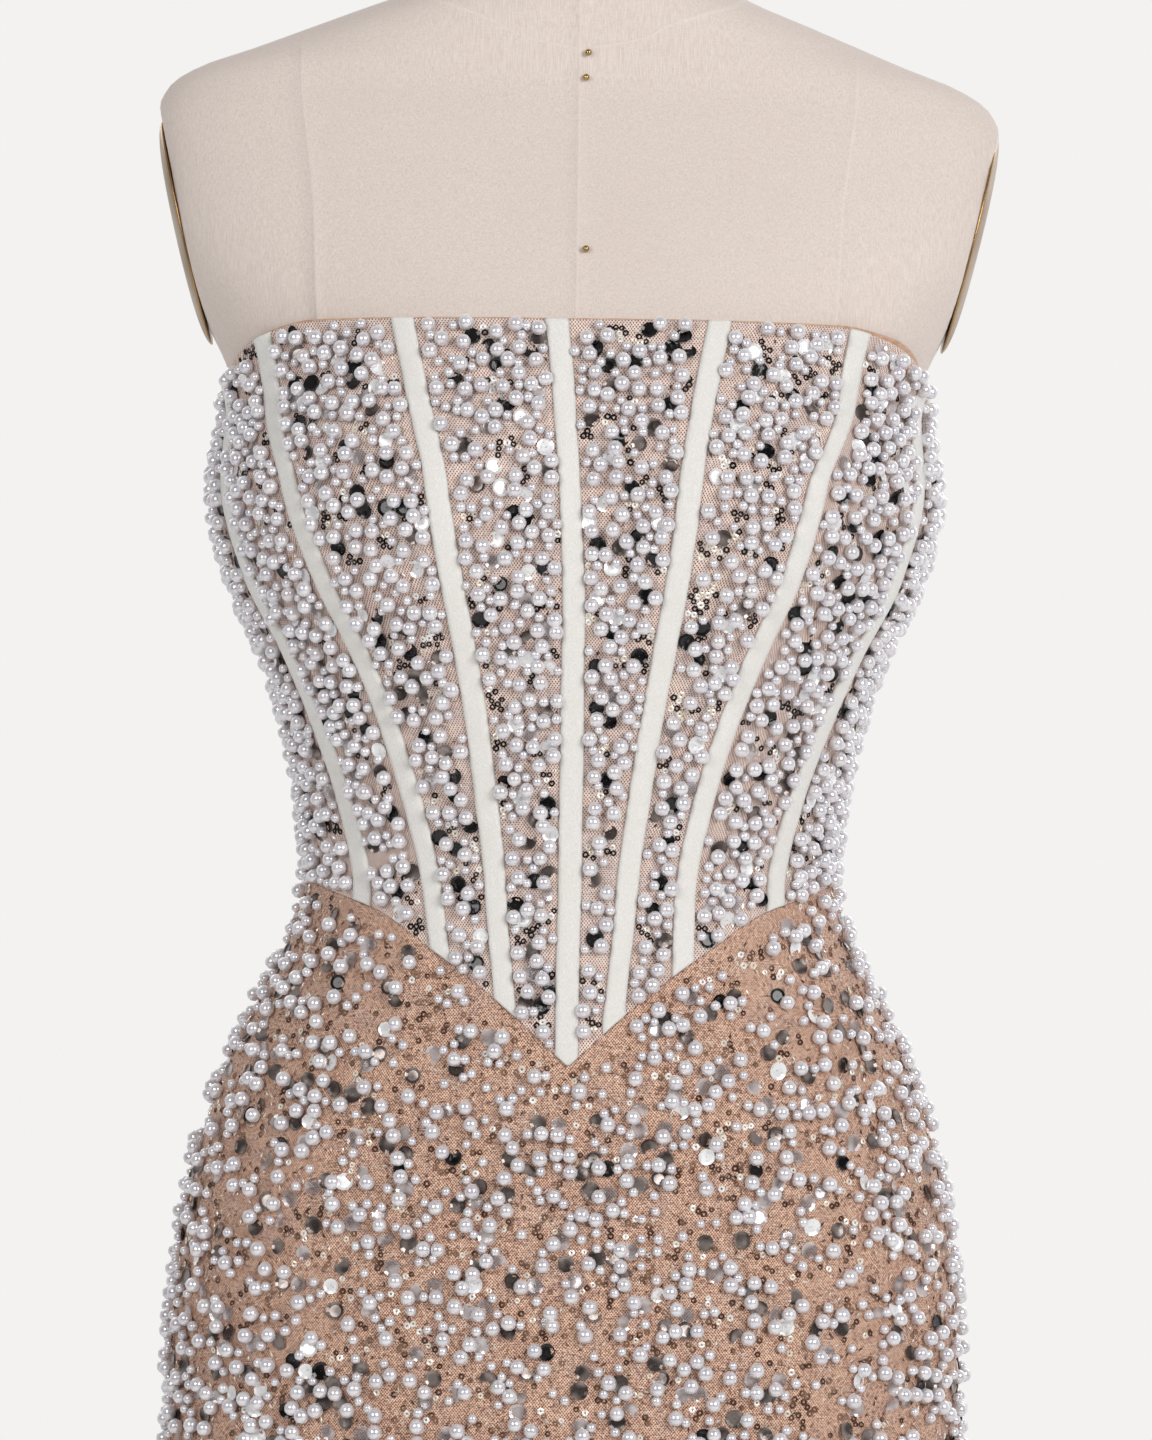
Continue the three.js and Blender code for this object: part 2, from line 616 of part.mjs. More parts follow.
const BOARD_TOP = FORM_BOTTOM - SEAM_GAP;
const FLANGE_TOP = BOARD_TOP - BOTTOM_BOARD.thick - SEAM_GAP;
const POLE_TOP = FLANGE_TOP - FLANGE.thick - FLANGE.collar - SEAM_GAP;

function bottomBoard() {
  const inset = tuckAt(FORM_BOTTOM) + BOTTOM_BOARD.inset;
  const outline = formRing(FORM_BOTTOM, inset);
  const at = (height) => outline.map((point) => point.clone().setZ(height));
  return ringLoft([at(BOARD_TOP - BOTTOM_BOARD.thick), at(BOARD_TOP)]);
}

const standFlange = () => turned([
  { radius: 0, height: POLE_TOP + SEAM_GAP },
  { radius: FLANGE.collarRadius, height: POLE_TOP + SEAM_GAP },
  { radius: FLANGE.collarRadius, height: FLANGE_TOP - FLANGE.thick },
  { radius: FLANGE.radius, height: FLANGE_TOP - FLANGE.thick },
  { radius: FLANGE.radius, height: FLANGE_TOP },
  { radius: 0, height: FLANGE_TOP },
]);

const standPole = () => turned([
  { radius: 0, height: BASE.collar + SEAM_GAP },
  { radius: POLE_RADIUS, height: BASE.collar + SEAM_GAP },
  { radius: POLE_RADIUS, height: POLE_TOP },
  { radius: 0, height: POLE_TOP },
]);

const standBase = () => turned([
  { radius: 0, height: 0 },
  { radius: BASE.radius, height: 0 },
  { radius: BASE.radius, height: BASE.edge },
  { radius: BASE.radius - 5, height: BASE.edge + 4 },
  { radius: BASE.collarRadius + 12, height: BASE.rise },
  { radius: BASE.collarRadius, height: BASE.rise + 8 },
  { radius: BASE.collarRadius, height: BASE.collar },
  { radius: 0, height: BASE.collar },
]);

const neckCap = () => turned([
  { radius: 0, height: FORM_TOP + SEAM_GAP },
  { radius: NECK_CAP.radius, height: FORM_TOP + SEAM_GAP },
  { radius: NECK_CAP.radius, height: FORM_TOP + NECK_CAP.thick - NECK_CAP.bevel },
  { radius: NECK_CAP.radius - NECK_CAP.bevel, height: FORM_TOP + NECK_CAP.thick },
  { radius: 0, height: FORM_TOP + NECK_CAP.thick + 1 },
]);

// ---------------------------------------------------------------- the model

PANELS.forEach((name, panel) => add(`bodice_${name}`, bodicePanel(panel), material(NET_OVER_NUDE, 0.8)));
SEAMS.forEach((seam, index) => add(`bone_${seam.name}`, boneCasing(index), material(VELVET, 0.9)));
add('neckline_facing', necklineFacing(), material(SATIN, 0.45));

const SIDE_LEFT = SEAMS.findIndex((seam) => seam.name === 'side_left');
const SIDE_RIGHT = SEAMS.findIndex((seam) => seam.name === 'side_right');
add('skirt_back_left', skirtPiece(0, SIDE_LEFT, { left: 'back', right: 'side' }), material(SKIRT_MESH, 0.8));
add('skirt_front', skirtPiece(SIDE_LEFT + 1, SIDE_RIGHT, { left: 'side', right: 'side' }),
  material(SKIRT_MESH, 0.8));
add('skirt_back_right', skirtPiece(SIDE_RIGHT + 1, SEAMS.length, { left: 'side', right: 'back' }),
  material(SKIRT_MESH, 0.8));

add('zip_tape', zipTape(), material(TAPE, 0.8));
add('zip_slider', zipSlider(), material(STEEL, 0.35, 1));
add('zip_pull', zipPull(), material(STEEL, 0.35, 1));

add('form_torso', formTorso(), material(LINEN, 0.9));
add('arm_plate_left', armPlate(-1), material(BRASS, 0.35, 1));
add('arm_plate_right', armPlate(1), material(BRASS, 0.35, 1));
PINS.forEach((pin) => add(pin.name, pinHead(pin), material(BRASS, 0.3, 1)));
add('neck_cap', neckCap(), material(WOOD, 0.6));
add('bottom_board', bottomBoard(), material(WOOD, 0.7));
add('stand_flange', standFlange(), material(DARK_METAL, 0.5, 0.6));
add('stand_pole', standPole(), material(STEEL, 0.3, 1));
add('stand_base', standBase(), material(DARK_METAL, 0.5, 0.6));

export default dress;
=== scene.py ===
"""The looks of a strapless corset mini dress on a limbless dress form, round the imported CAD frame.

Metres, +Z up. The dress faces -Y and +X is the viewer's right; angles run from the centre front towards +X.
"""
import math
from functools import cached_property
from itertools import product

import bpy
import numpy as np
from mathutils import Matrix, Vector


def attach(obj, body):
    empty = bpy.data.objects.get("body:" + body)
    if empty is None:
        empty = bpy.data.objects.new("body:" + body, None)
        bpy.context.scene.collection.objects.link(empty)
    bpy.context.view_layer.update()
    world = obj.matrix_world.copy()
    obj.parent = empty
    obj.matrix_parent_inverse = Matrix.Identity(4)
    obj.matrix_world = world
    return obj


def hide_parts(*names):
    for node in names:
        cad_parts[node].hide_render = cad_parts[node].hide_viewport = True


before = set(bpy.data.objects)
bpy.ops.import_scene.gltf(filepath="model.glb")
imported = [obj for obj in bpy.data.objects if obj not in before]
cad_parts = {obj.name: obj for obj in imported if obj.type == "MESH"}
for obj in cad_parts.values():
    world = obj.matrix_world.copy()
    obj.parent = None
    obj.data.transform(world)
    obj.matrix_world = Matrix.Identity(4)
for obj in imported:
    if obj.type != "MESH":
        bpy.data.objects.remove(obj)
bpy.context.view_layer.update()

MM = 0.001
DRESS = "dress_and_form"

# ---- the figure, as the CAD has it

# height, half width, front depth, back depth (mm), squareness of the level section
FIGURE = np.array([
    (590, 164, 99, 112, 2.25), (700, 166.5, 99, 118, 2.25), (780, 167, 98, 125, 2.25),
    (825, 166.7, 97, 127, 2.25), (860, 164.4, 96, 123, 2.25), (910, 156.8, 94, 111, 2.25),
    (945, 146.3, 92, 100, 2.22), (980, 130.5, 88, 90, 2.2), (1008, 116.5, 84, 83, 2.2),
    (1038, 109.5, 81, 79, 2.2), (1070, 112.5, 85, 81, 2.2), (1100, 118.6, 91, 87, 2.2),
    (1135, 130, 98, 95, 2.2), (1165, 143.6, 103, 101, 2.2), (1200, 151.2, 105, 105, 2.2),
    (1235, 147, 101, 107, 2.2), (1252, 150.5, 97, 107.5, 2.25), (1272, 160, 91, 107, 2.33),
    (1300, 176, 80, 102, 2.42), (1330, 183, 67, 93, 2.5), (1360, 184, 55, 77, 2.5),
    (1374, 178, 50, 68, 2.5), (1382, 166, 49, 64, 2.5), (1390, 144, 49, 62, 2.45),
    (1400, 118, 50, 60, 2.35), (1408, 97, 51, 59, 2.3), (1416, 76, 52, 58, 2.2),
    (1424, 63, 53, 57, 2.1), (1440, 56, 53, 57, 2), (1490, 53, 51, 55, 2)])
BUST_ANGLE, BUST_SPREAD = math.radians(40), math.radians(26)
BUST_HEIGHT, BUST_REACH, BUST_RISE = 1192 * MM, 60 * MM, 13 * MM

# angle (degrees from the centre front), height (mm)
NECKLINE = [(0, 1269), (56, 1269), (66, 1264.5), (73, 1258), (79, 1250.5), (90, 1244), (130, 1232),
            (180, 1225)]
WAIST_SEAM = [(0, 957.5), (15.4, 979.5), (32.5, 1000.5), (56.5, 1023.5), (90, 1033), (180, 1036)]
HEM = 590 * MM
PANEL_INNER, PANEL_OUTER = 2.2 * MM, 3.7 * MM
BONE_INNER, BONE_OUTER = 3.8 * MM, 5.65 * MM
UNDER_INNER, UNDER_OUTER = 0.9 * MM, 1.9 * MM
SEAM_GAP, SLOPE_GAP = 0.06 * MM, 0.42 * MM

# Seams at the heights below, in degrees: neck, chest, bust, ribs, waist, end
SEAM_HEIGHTS = np.array([1270, 1235, 1200, 1150, 1040, 980]) * MM
SEAMS = {
    "back_left": (-147, -147, -147, -148, -152, -154),
    "back_side_left": (-118, -117, -116, -117, -122, -124),
    "side_left": (-92, -90, -89, -88.5, -89, -90),
    "side_front_left": (-86, -80, -74.5, -70, -57.8, -53),
    "outer_left": (-65.8, -63, -54.5, -48.9, -39, -31),
    "inner_left": (-39.7, -32.8, -27.6, -25.2, -21.6, -16.6),
    "centre": (-5.3, -2.7, -1.2, 0.1, 0, -0.4),
    "inner_right": (33.5, 27.3, 23.6, 21.8, 16.9, 12.2),
    "outer_right": (59.5, 55, 45.6, 41.9, 32.8, 29),
    "side_front_right": (82, 76.5, 72, 68.8, 57, 53),
    "side_right": (90, 89, 88.5, 88.5, 89, 90),
    "back_side_right": (116, 116, 116, 117, 122, 124),
    "back_right": (147, 147, 147, 148, 152, 154)}
PANEL_PARTS = ["centre_back", "back", "back_side", "side", "side_front", "front", "inner"]
PANELS = [f"{part}_left" for part in PANEL_PARTS] + [f"{part}_right" for part in reversed(PANEL_PARTS)]
SIDE_LEFT, SIDE_RIGHT = 2, 10

# Flutes of the hanging skirt: angle and width in degrees, depth in mm
FLUTES = [(-158, 17, 2.6), (-112, 20, 3.2), (-63, 16, 2.2), (-24, 13, 1.6),
          (17, 15, 2.0), (71, 18, 2.8), (121, 16, 2.4), (163, 14, 3.0)]
FLUTES_FROM = 800 * MM

FORM_BOTTOM = 740 * MM
TUCK_FROM, TUCK_DEPTH = 830 * MM, 18 * MM
ARM_HIGH, ARM_LOW, ARM_MIDDLE_Y = (181.5 * MM, 1362 * MM), (158.5 * MM, 1264 * MM), 5.5 * MM
ZIP_BOTTOM, ZIP_TOP, ZIP_OPENING, TAPE_HALF = 850.04 * MM, 1222 * MM, 2.6 * MM, 12 * MM
TURN_STEP, CLIMB_STEP, SETTLING_STEPS = 0.001, 0.5 * MM, 12


def smooth_column(places, values):
    """A smooth curve through a table's rows that never overshoots them."""
    order = np.argsort(places)
    places, values = np.asarray(places, float)[order], np.asarray(values, float)[order]
    spans = np.diff(places)
    slopes = np.diff(values) / spans
    tangents = np.concatenate([slopes[:1], np.zeros(len(slopes) - 1), slopes[-1:]])
    for i in range(1, len(slopes)):
        if slopes[i - 1] * slopes[i] > 0:
            nearer, farther = 2 * spans[i] + spans[i - 1], spans[i] + 2 * spans[i - 1]
            tangents[i] = (nearer + farther) / (nearer / slopes[i - 1] + farther / slopes[i])

    def at(place):
        k = np.clip(np.searchsorted(places, place) - 1, 0, len(spans) - 1)
        s = np.clip((place - places[k]) / spans[k], 0, 1)
        leave = s * (1 - s) ** 2 * spans[k] * tangents[k]
        arrive = s * s * (s - 1) * spans[k] * tangents[k + 1]
        return lerp(values[k], values[k + 1], smoothstep(s)) + leave + arrive
    return at


def height_round(table):
    """Heights round the body, the same on both sides, from a table of degrees and mm."""
    angles, heights = np.transpose(table)
    curve = smooth_column(np.radians(angles), heights * MM)
    return lambda angle: curve(np.abs(angle))


half_width_at, front_at, back_at = (smooth_column(FIGURE[:, 0] * MM, FIGURE[:, i] * MM) for i in (1, 2, 3))
square_at = smooth_column(FIGURE[:, 0] * MM, FIGURE[:, 4])
neckline_at, waist_seam_at = height_round(NECKLINE), height_round(WAIST_SEAM)
seam_curves = [smooth_column(SEAM_HEIGHTS, np.radians(row)) for row in SEAMS.values()]


def smoothstep(share):
    s = np.clip(share, 0, 1)
    return s * s * (3 - 2 * s)


def lerp(a, b, share):
    return a + (b - a) * share


def depth_at(turn, height):
    """Depth of the section's front half or of its back half, whichever the turn faces."""
    return np.where(np.cos(turn) > 0, front_at(height), back_at(height))


def figure_radius(angle, height):
    n = square_at(height)
    sideways = np.abs(np.sin(angle) / half_width_at(height)) ** n
    frontways = np.abs(np.cos(angle) / depth_at(angle, height)) ** n
    aside = (np.abs(angle) - BUST_ANGLE) / BUST_SPREAD
    away = (height - BUST_HEIGHT) / BUST_REACH
    return (sideways + frontways) ** (-1 / n) + BUST_RISE * np.exp(-aside ** 2 - away ** 2)


def on_figure(angle, height, inset=0.0):
    angle, height = np.broadcast_arrays(np.asarray(angle, float), np.asarray(height, float))
    radius = figure_radius(angle, height) - inset
    return np.stack([radius * np.sin(angle), -radius * np.cos(angle), height], axis=-1)


def unit(vectors):
    return vectors / np.linalg.norm(vectors, axis=-1, keepdims=True)


def across_at(angle, height):
    """From one point of the figure to another, close to each side of an angle."""
    return on_figure(angle + TURN_STEP, height) - on_figure(angle - TURN_STEP, height)


def speed_at(angle, height):
    """Metres round the figure to a radian."""
    return np.linalg.norm(across_at(angle, height), axis=-1) / (2 * TURN_STEP)


def normal_at(angle, height):
    up = on_figure(angle, height + CLIMB_STEP) - on_figure(angle, height - CLIMB_STEP)
    return unit(np.cross(across_at(angle, height), up))


def off_figure(angle, height, out):
    out = np.asarray(out, float)
    return on_figure(angle, height) + normal_at(angle, height) * out[..., None]


def flute_at(angle, height):
    hang = smoothstep((FLUTES_FROM - height) / (FLUTES_FROM - HEM))
    swing = sum(depth * MM * np.exp(-((angle - math.radians(middle)) / math.radians(width)) ** 2)
                for middle, width, depth in FLUTES)
    return swing * hang


def seam_angle(index, height):
    """Seam lines in order round the body, from the centre back's left edge to its right edge."""
    if 0 <= index < len(seam_curves):
        return seam_curves[index](height)
    closing = smoothstep((height - (ZIP_BOTTOM - 10 * MM)) / (10 * MM))
    edge = math.pi - np.arcsin(lerp(SEAM_GAP / 2, ZIP_OPENING, closing) / back_at(height))
    return -edge if index < 0 else edge


def bodice_point(panel, across, share, inset=SEAM_GAP / 2):
    """Angle and height a share of the way up a panel, between its two seams, found by settling."""
    across, share = np.broadcast_arrays(np.asarray(across, float), np.asarray(share, float))
    height = lerp(1.0, 1.27, share)
    for _ in range(SETTLING_STEPS):
        edge = inset / half_width_at(height)
        left = seam_angle(panel - 1, height) + (edge if panel > 0 else 0)
        right = seam_angle(panel, height) - (edge if panel < len(SEAMS) else 0)
        angle = lerp(left, right, across)
        height = lerp(waist_seam_at(angle) + SLOPE_GAP / 2, neckline_at(angle), share)
    return angle, height


# ---- meshes from arrays

def add_object(name, data):
    made = bpy.data.objects.new(name, data)
    bpy.context.scene.collection.objects.link(made)
    return made


def add_mesh(name, points, faces, uv=None, smooth=True, normals=None):
    """A new object from points (n, 3) and faces (m, 3) or (m, 4)."""
    points, faces = np.asarray(points, np.float32).reshape(-1, 3), np.asarray(faces, np.int32)
    mesh = bpy.data.meshes.new(name)
    mesh.from_pydata(points, [], faces)
    mesh.validate()
    mesh.polygons.foreach_set("use_smooth", np.full(len(mesh.polygons), smooth))
    if uv is not None:
        layer = mesh.uv_layers.new(name="cut")
        layer.uv.foreach_set("vector", np.asarray(uv, np.float32).reshape(-1, 2)[faces.ravel()].ravel())
    if normals is not None:
        mesh.normals_split_custom_set_from_vertices(np.asarray(normals, float).reshape(-1, 3))
    return add_object(name, mesh)


def mark_points(piece, name, values):
    """Stores a number at each point, for the piece's material to read."""
    mark = piece.data.attributes.new(name, "FLOAT", "POINT")
    mark.data.foreach_set("value", np.asarray(values, np.float32))


def dress_up(piece, finish, *nodes):
    """Gives a piece its material, and puts it in place of CAD nodes."""
    piece.data.materials.append(finish.material)
    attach(piece, DRESS)
    if nodes:
        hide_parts(*nodes)
    return piece


def cloth(piece, finish, node):
    width, length, area = dress_up(piece, finish, node)["cut"]


def grid_faces(rows, columns, wrap=False):
    index = np.arange(rows * columns).reshape(rows, columns)
    if wrap:
        index = np.concatenate([index, index[:, :1]], axis=1)
    return np.stack([index[:-1, :-1], index[:-1, 1:], index[1:, 1:], index[1:, :-1]], axis=-1).reshape(-1, 4)


def halved(quads):
    """Each quad as two triangles."""
    return np.concatenate([quads[:, [0, 1, 2]], quads[:, [0, 2, 3]]])


def closed_rings(rows, sides):
    """Triangles over rows of rings, with a fan at each end round the two points that follow the rings."""
    quads = grid_faces(rows, sides, wrap=True)
    here, low, last = np.arange(sides), rows * sides, (rows - 1) * sides
    beside = (here + 1) % sides
    fans = np.concatenate([np.stack([beside, here, 0 * here + low], axis=-1),
                           np.stack([last + here, last + beside, 0 * here + low + 1], axis=-1)])
    return np.concatenate([halved(quads), fans])


def along_grid(points, axis):
    """Running length of a grid of points along one axis."""
    steps = np.linalg.norm(np.diff(points, axis=axis), axis=-1)
    return np.pad(np.cumsum(steps, axis=axis), [(1 - axis, 0), (axis, 0)])


def cloth_shell(name, angle, height, inner, outer, soften, lift=0.0, seat=0.5):
    """A thin closed wall of cloth over a grid of angles and heights, with soft edges.

    Its two faces meet along the border, at the share `seat` of the wall's thickness, so the edge is
    round over the distance `soften`.
    """
    middle = lerp(inner, outer, seat)
    base = off_figure(angle, height, middle)
    across, along = along_grid(base, 1), along_grid(base, 0)
    border = np.minimum.reduce([across, across[:, -1:] - across, along, along[-1:] - along])
    fall = np.sqrt(1 - (1 - np.clip(border / soften, 0, 1)) ** 2)
    outside = off_figure(angle, height, lerp(middle, outer, fall) + lift)
    inside = off_figure(angle, height, lerp(middle, inner, fall) + np.minimum(lift, 0))
    u = along_grid(base[..., :2], 1)
    u = u - u[:, u.shape[1] // 2][:, None]
    uv = np.stack([u, height], axis=-1)
    top = grid_faces(*angle.shape)
    under = top[:, ::-1] + angle.size
    rim = np.zeros(angle.shape, bool)
    rim[[0, -1]] = rim[:, [0, -1]] = True
    welded = np.arange(2 * angle.size)
    welded[angle.size:][rim.ravel()] = np.flatnonzero(rim)
    faces = welded[np.concatenate([top, under])]
    used, compact = np.unique(faces, return_inverse=True)
    points = np.concatenate([outside.reshape(-1, 3), inside.reshape(-1, 3)])[used]
    uvs = np.concatenate([uv.reshape(-1, 2)] * 2)[used]
    piece = add_mesh(name, points, compact.reshape(faces.shape), uvs)
    piece["cut"] = (float(across[:, -1].max()), float(along[-1].max()), grid_area(base))
    return piece


def grid_area(grid):
    a, b = grid[1:, 1:] - grid[:-1, :-1], grid[1:, :-1] - grid[:-1, 1:]
    return float(np.linalg.norm(np.cross(a, b), axis=-1).sum() / 2)


def edged(count, edge_shares):
    """Shares from 0 to 1 with extra lines close to both ends."""
    inner = np.linspace(edge_shares[-1], 1 - edge_shares[-1], count)
    return np.concatenate([[0], edge_shares[:-1], inner, 1 - np.array(edge_shares[:-1])[::-1], [1]])


def ring_turns(sides):
    return np.arange(sides) * 2 * math.pi / sides


def lathe(profile, sides, centre=(0, 0, 0), axes=np.eye(3), squash=1.0):
    """Turns (radius, rise) pairs round the third of `axes`; both ends lie on the axis."""
    profile, turns = np.asarray(profile, float), ring_turns(sides)
    radius, rise = profile[1:-1, :1], profile[1:-1, 1:]
    rings = np.stack([radius * np.cos(turns), radius * (np.sin(turns) * squash), rise + 0 * turns], axis=-1)
    points = np.concatenate([rings.reshape(-1, 3), [(0, 0, profile[0, 1]), (0, 0, profile[-1, 1])]])
    return points @ axes + centre, closed_rings(len(radius), sides)


# ---- materials

def srgb(*channels):
    """Red, green and blue as seen on screen, 0 to 255, as linear RGBA."""
    values = np.array(channels) / 255
    linear = np.where(values <= 0.04045, values / 12.92, ((values + 0.055) / 1.055) ** 2.4)
    return (*map(float, linear), 1.0)


class Nodes:
    """Short calls that lay out the nodes of a material or of the world."""

    def __init__(self, owner):
        owner.use_nodes = True
        self.tree = owner.node_tree

    def put(self, socket, value):
        """Links a socket or sets it; three numbers for a colour are as seen on screen, 0 to 255."""
        if isinstance(value, bpy.types.NodeSocket):
            self.tree.links.new(value, socket)
        else:
            socket.default_value = srgb(*value) if socket.type == "RGBA" and len(value) == 3 else value

    def node(self, kind, inputs=(), **settings):
        made = self.tree.nodes.new("ShaderNode" + kind)
        for setting, value in settings.items():
            setattr(made, setting, value)
        for key, value in dict(inputs).items():
            self.put(made.inputs[key], value)
        return made

    def math(self, operation, a, b=0.0):
        return self.node("Math", {0: a, 1: b}, operation=operation).outputs[0]

    def plus(self, a, b):
        return self.math("ADD", a, b)

    def times(self, a, b):
        return self.math("MULTIPLY", a, b)

    def parts(self, vector):
        return self.node("SeparateXYZ", {0: vector}).outputs

    def ramp(self, value, low, high, to_low=0.0, to_high=1.0):
        return self.node("MapRange", {"Value": value, "From Min": low, "From Max": high, "To Min": to_low,
                                      "To Max": to_high}).outputs["Result"]


class Finish(Nodes):
    """A procedural material and its slot, with named sockets set on its shader."""

    def __init__(self, name, slot=None, **sockets):
        self.material, self.slot = bpy.data.materials.new(name), slot or name
        super().__init__(self.material)
        self.shader = next(node for node in self.tree.nodes if node.type == "BSDF_PRINCIPLED")
        self.give(**sockets)

    def give(self, **sockets):
        for socket, value in sockets.items():
            self.put(self.shader.inputs[socket.replace("_", " ")], value)

    def base(self, colour):
        self.give(Base_Color=colour)

    def bump(self, height, depth, strength):
        """Raises the surface by `depth` mm where height is 1."""
        made = self.node("Bump", {"Height": height, "Distance": depth * MM, "Strength": strength})
        self.give(Normal=made.outputs["Normal"])

    @cached_property
    def place(self):
        """Object coordinates, in metres."""
        return self.node("TexCoord").outputs["Object"]

    @cached_property
    def cut(self):
        """Across and along the cloth as it was cut, in metres."""
        return self.node("UVMap", uv_map="cut").outputs["UV"]

    def mark(self, name):
        return self.node("Attribute", attribute_name=name).outputs["Fac"]

    def scaled(self, vector, scale):
        return self.node("VectorMath", {0: vector, 1: scale}, operation="MULTIPLY").outputs[0]

    def noise(self, size, stretch=(1, 1, 1), detail=2.0, rough=0.5):
        """Soft noise whose patches are about `size` mm, longer by `stretch` along each axis."""
        scale = tuple(1 / (size * MM * s) for s in stretch)
        return self.node("TexNoise", {"Vector": self.scaled(self.place, scale), "Scale": 1.0,
                                      "Detail": detail, "Roughness": rough}).outputs["Fac"]

    def mix(self, factor, a, b):
        return self.node("Mix", {0: factor, 6: a, 7: b}, data_type="RGBA").outputs[2]

    def fade(self, value, low, high, a, b, most=1.0):
        """Colour `a` where the value is low, and up to `most` of colour `b` over it where it is high."""
        return self.mix(self.ramp(value, low, high, 0, most), a, b)


def make_linen():
    f = Finish("linen", Roughness=0.9, Sheen_Weight=0.1, Sheen_Roughness=0.4)
    rib, cross = f.noise(0.42, (1, 1, 16), 1.0), f.noise(0.35, (5, 5, 1), 1.0)
    slub, patch = f.noise(0.8, (1, 1, 2.5), rough=0.6), f.noise(70, (1, 1, 1.5))
    weave = f.plus(f.times(rib, 0.65), f.times(cross, 0.35))
    tone = f.fade(weave, 0.36, 0.64, (217, 202, 192), (232, 220, 211))
    tone = f.fade(slub, 0.70, 0.78, tone, (184, 158, 140), 0.5)
    tone = f.fade(patch, 0.3, 0.7, tone, (218, 201, 190), 0.2)
    # Painted highlight: along the raised seams the seam mark lightens the linen.
    f.base(f.mix(f.times(f.mark("seam"), 0.4), tone, (240, 228, 220)))
    f.bump(weave, 0.06, 0.7)
    return f


def make_net(name, nude, thread, knot, cloud_nude, cloud_thread, across, down, ruck_shading_strength):
    """Net over a nude lining: threads in two slants with darker knots, and the nude in the holes.

    One repeat is `across` by `down` metres. Soft clouds are paler. Where net and lining ruck against
    each other, darker flecks in the knots' colour are painted shade, beside paler flecks of brighter nude;
    the last argument sets how strong they are.
    """
    f = Finish(name, Roughness=0.7, Sheen_Weight=0.1)
    nude, cloud_nude = srgb(*nude), srgb(*cloud_nude)
    wobble = f.noise(9, detail=1.0)
    drift = f.scaled(f.node("CombineXYZ", {0: wobble, 1: wobble, 2: 0.0}).outputs[0], (1.6 * MM, 1.0 * MM, 0))
    drifted = f.node("VectorMath", {0: f.cut, 1: drift}, operation="ADD").outputs[0]
    x, y, _ = f.parts(f.scaled(drifted, (1 / across, 1 / down, 1)))
    one, two = (f.math("ABSOLUTE", f.math("COSINE", f.times(f.math(sign, x, y), math.pi)))
                for sign in ("ADD", "SUBTRACT"))
    web = f.math("MAXIMUM", f.ramp(one, 0.80, 0.97), f.ramp(two, 0.80, 0.97))
    crossing = f.ramp(f.times(one, two), 0.50, 0.80)
    clouds = f.ramp(f.noise(13), 0.50, 0.64, 0, 0.5)
    clouded = tuple(0.6 * a + 0.4 * b for a, b in zip(nude, cloud_nude))
    under = f.fade(f.noise(7), 0.35, 0.65, nude, clouded)
    colour = f.mix(web, f.mix(clouds, under, cloud_nude), f.mix(clouds, thread, cloud_thread))
    # Painted shade of the rucks: darker flecks in the knots' colour, beside paler flecks of brighter nude
    ruck_shading = f.noise(1.3, (1, 1, 0.625), 3.0, 0.7)
    colour = f.fade(ruck_shading, 0.50, 0.68, colour, knot, ruck_shading_strength)
    colour = f.fade(ruck_shading, 0.50, 0.36, colour, (*(min(1.0, 1.25 * c) for c in nude[:3]), 1.0), ruck_shading_strength)
    f.base(f.mix(crossing, colour, knot))
    f.bump(f.plus(web, f.times(crossing, 0.6)), 0.12, 0.4)
    return f


def make_velvet():
    f = Finish("velvet", Roughness=1.0, Sheen_Weight=0.55, Sheen_Roughness=0.35)
    nap, brushed = f.noise(0.5, (1, 1, 2), 3.0, 0.65), f.noise(4.5, (1, 1, 2.5), 3.0, 0.6)
    tone = f.fade(nap, 0.3, 0.7, (222, 219, 213), (244, 242, 238))
    f.base(f.fade(brushed, 0.35, 0.7, tone, (230, 225, 217), 0.45))
    f.bump(f.plus(nap, f.times(brushed, 0.8)), 0.18, 0.8)
    return f


def make_satin():
    f = Finish("satin", Roughness=0.38, Sheen_Weight=0.3)
    pulls = f.noise(3, (1, 1, 0.6))
    f.base(f.fade(pulls, 0.35, 0.65, (186, 142, 112), (214, 172, 140)))
    f.bump(f.plus(pulls, f.noise(0.25, (1, 1, 4))), 0.2, 0.5)
    return f


def make_tape():
    f = Finish("zip_tape", Roughness=0.85)
    x, y, _ = f.parts(f.scaled(f.cut, (1 / (2.0 * MM), 1 / (0.8 * MM), 1)))
    twill = f.math("SINE", f.times(f.plus(f.math("PINGPONG", x, 0.5), y), 2 * math.pi))
    f.base(f.fade(twill, -0.6, 0.6, (178, 142, 116), (205, 170, 143)))
    f.bump(twill, 0.08, 0.7)
    return f


def make_metal(name, light, dark, roughness, size, stretch=(1, 1, 1)):
    f = Finish(name, Metallic=1.0)
    marks, stain = f.noise(size, stretch, 3.0, 0.6), f.noise(9, detail=3.0)
    f.base(f.fade(stain, 0.35, 0.7, light, dark))
    f.give(Roughness=f.ramp(f.plus(marks, stain), 0.6, 1.4, roughness * 0.75, roughness * 1.35))
    f.bump(marks, 0.04, 0.5)
    return f


def make_plate():
    """Brushed pale metal with a polished golden rim."""
    f = Finish("arm_plate", "brass")
    rim = f.mark("rim")
    face = f.fade(f.noise(30), 0.35, 0.7, (196, 178, 160), (164, 142, 120))
    f.base(f.mix(rim, face, (180, 146, 100)))
    f.give(Metallic=f.ramp(rim, 0, 1, 0.55, 1.0), Roughness=f.ramp(rim, 0, 1, 0.45, 0.25))
    f.bump(f.noise(0.4, (1, 1, 8), 3.0, 0.6), 0.03, 0.5)
    return f


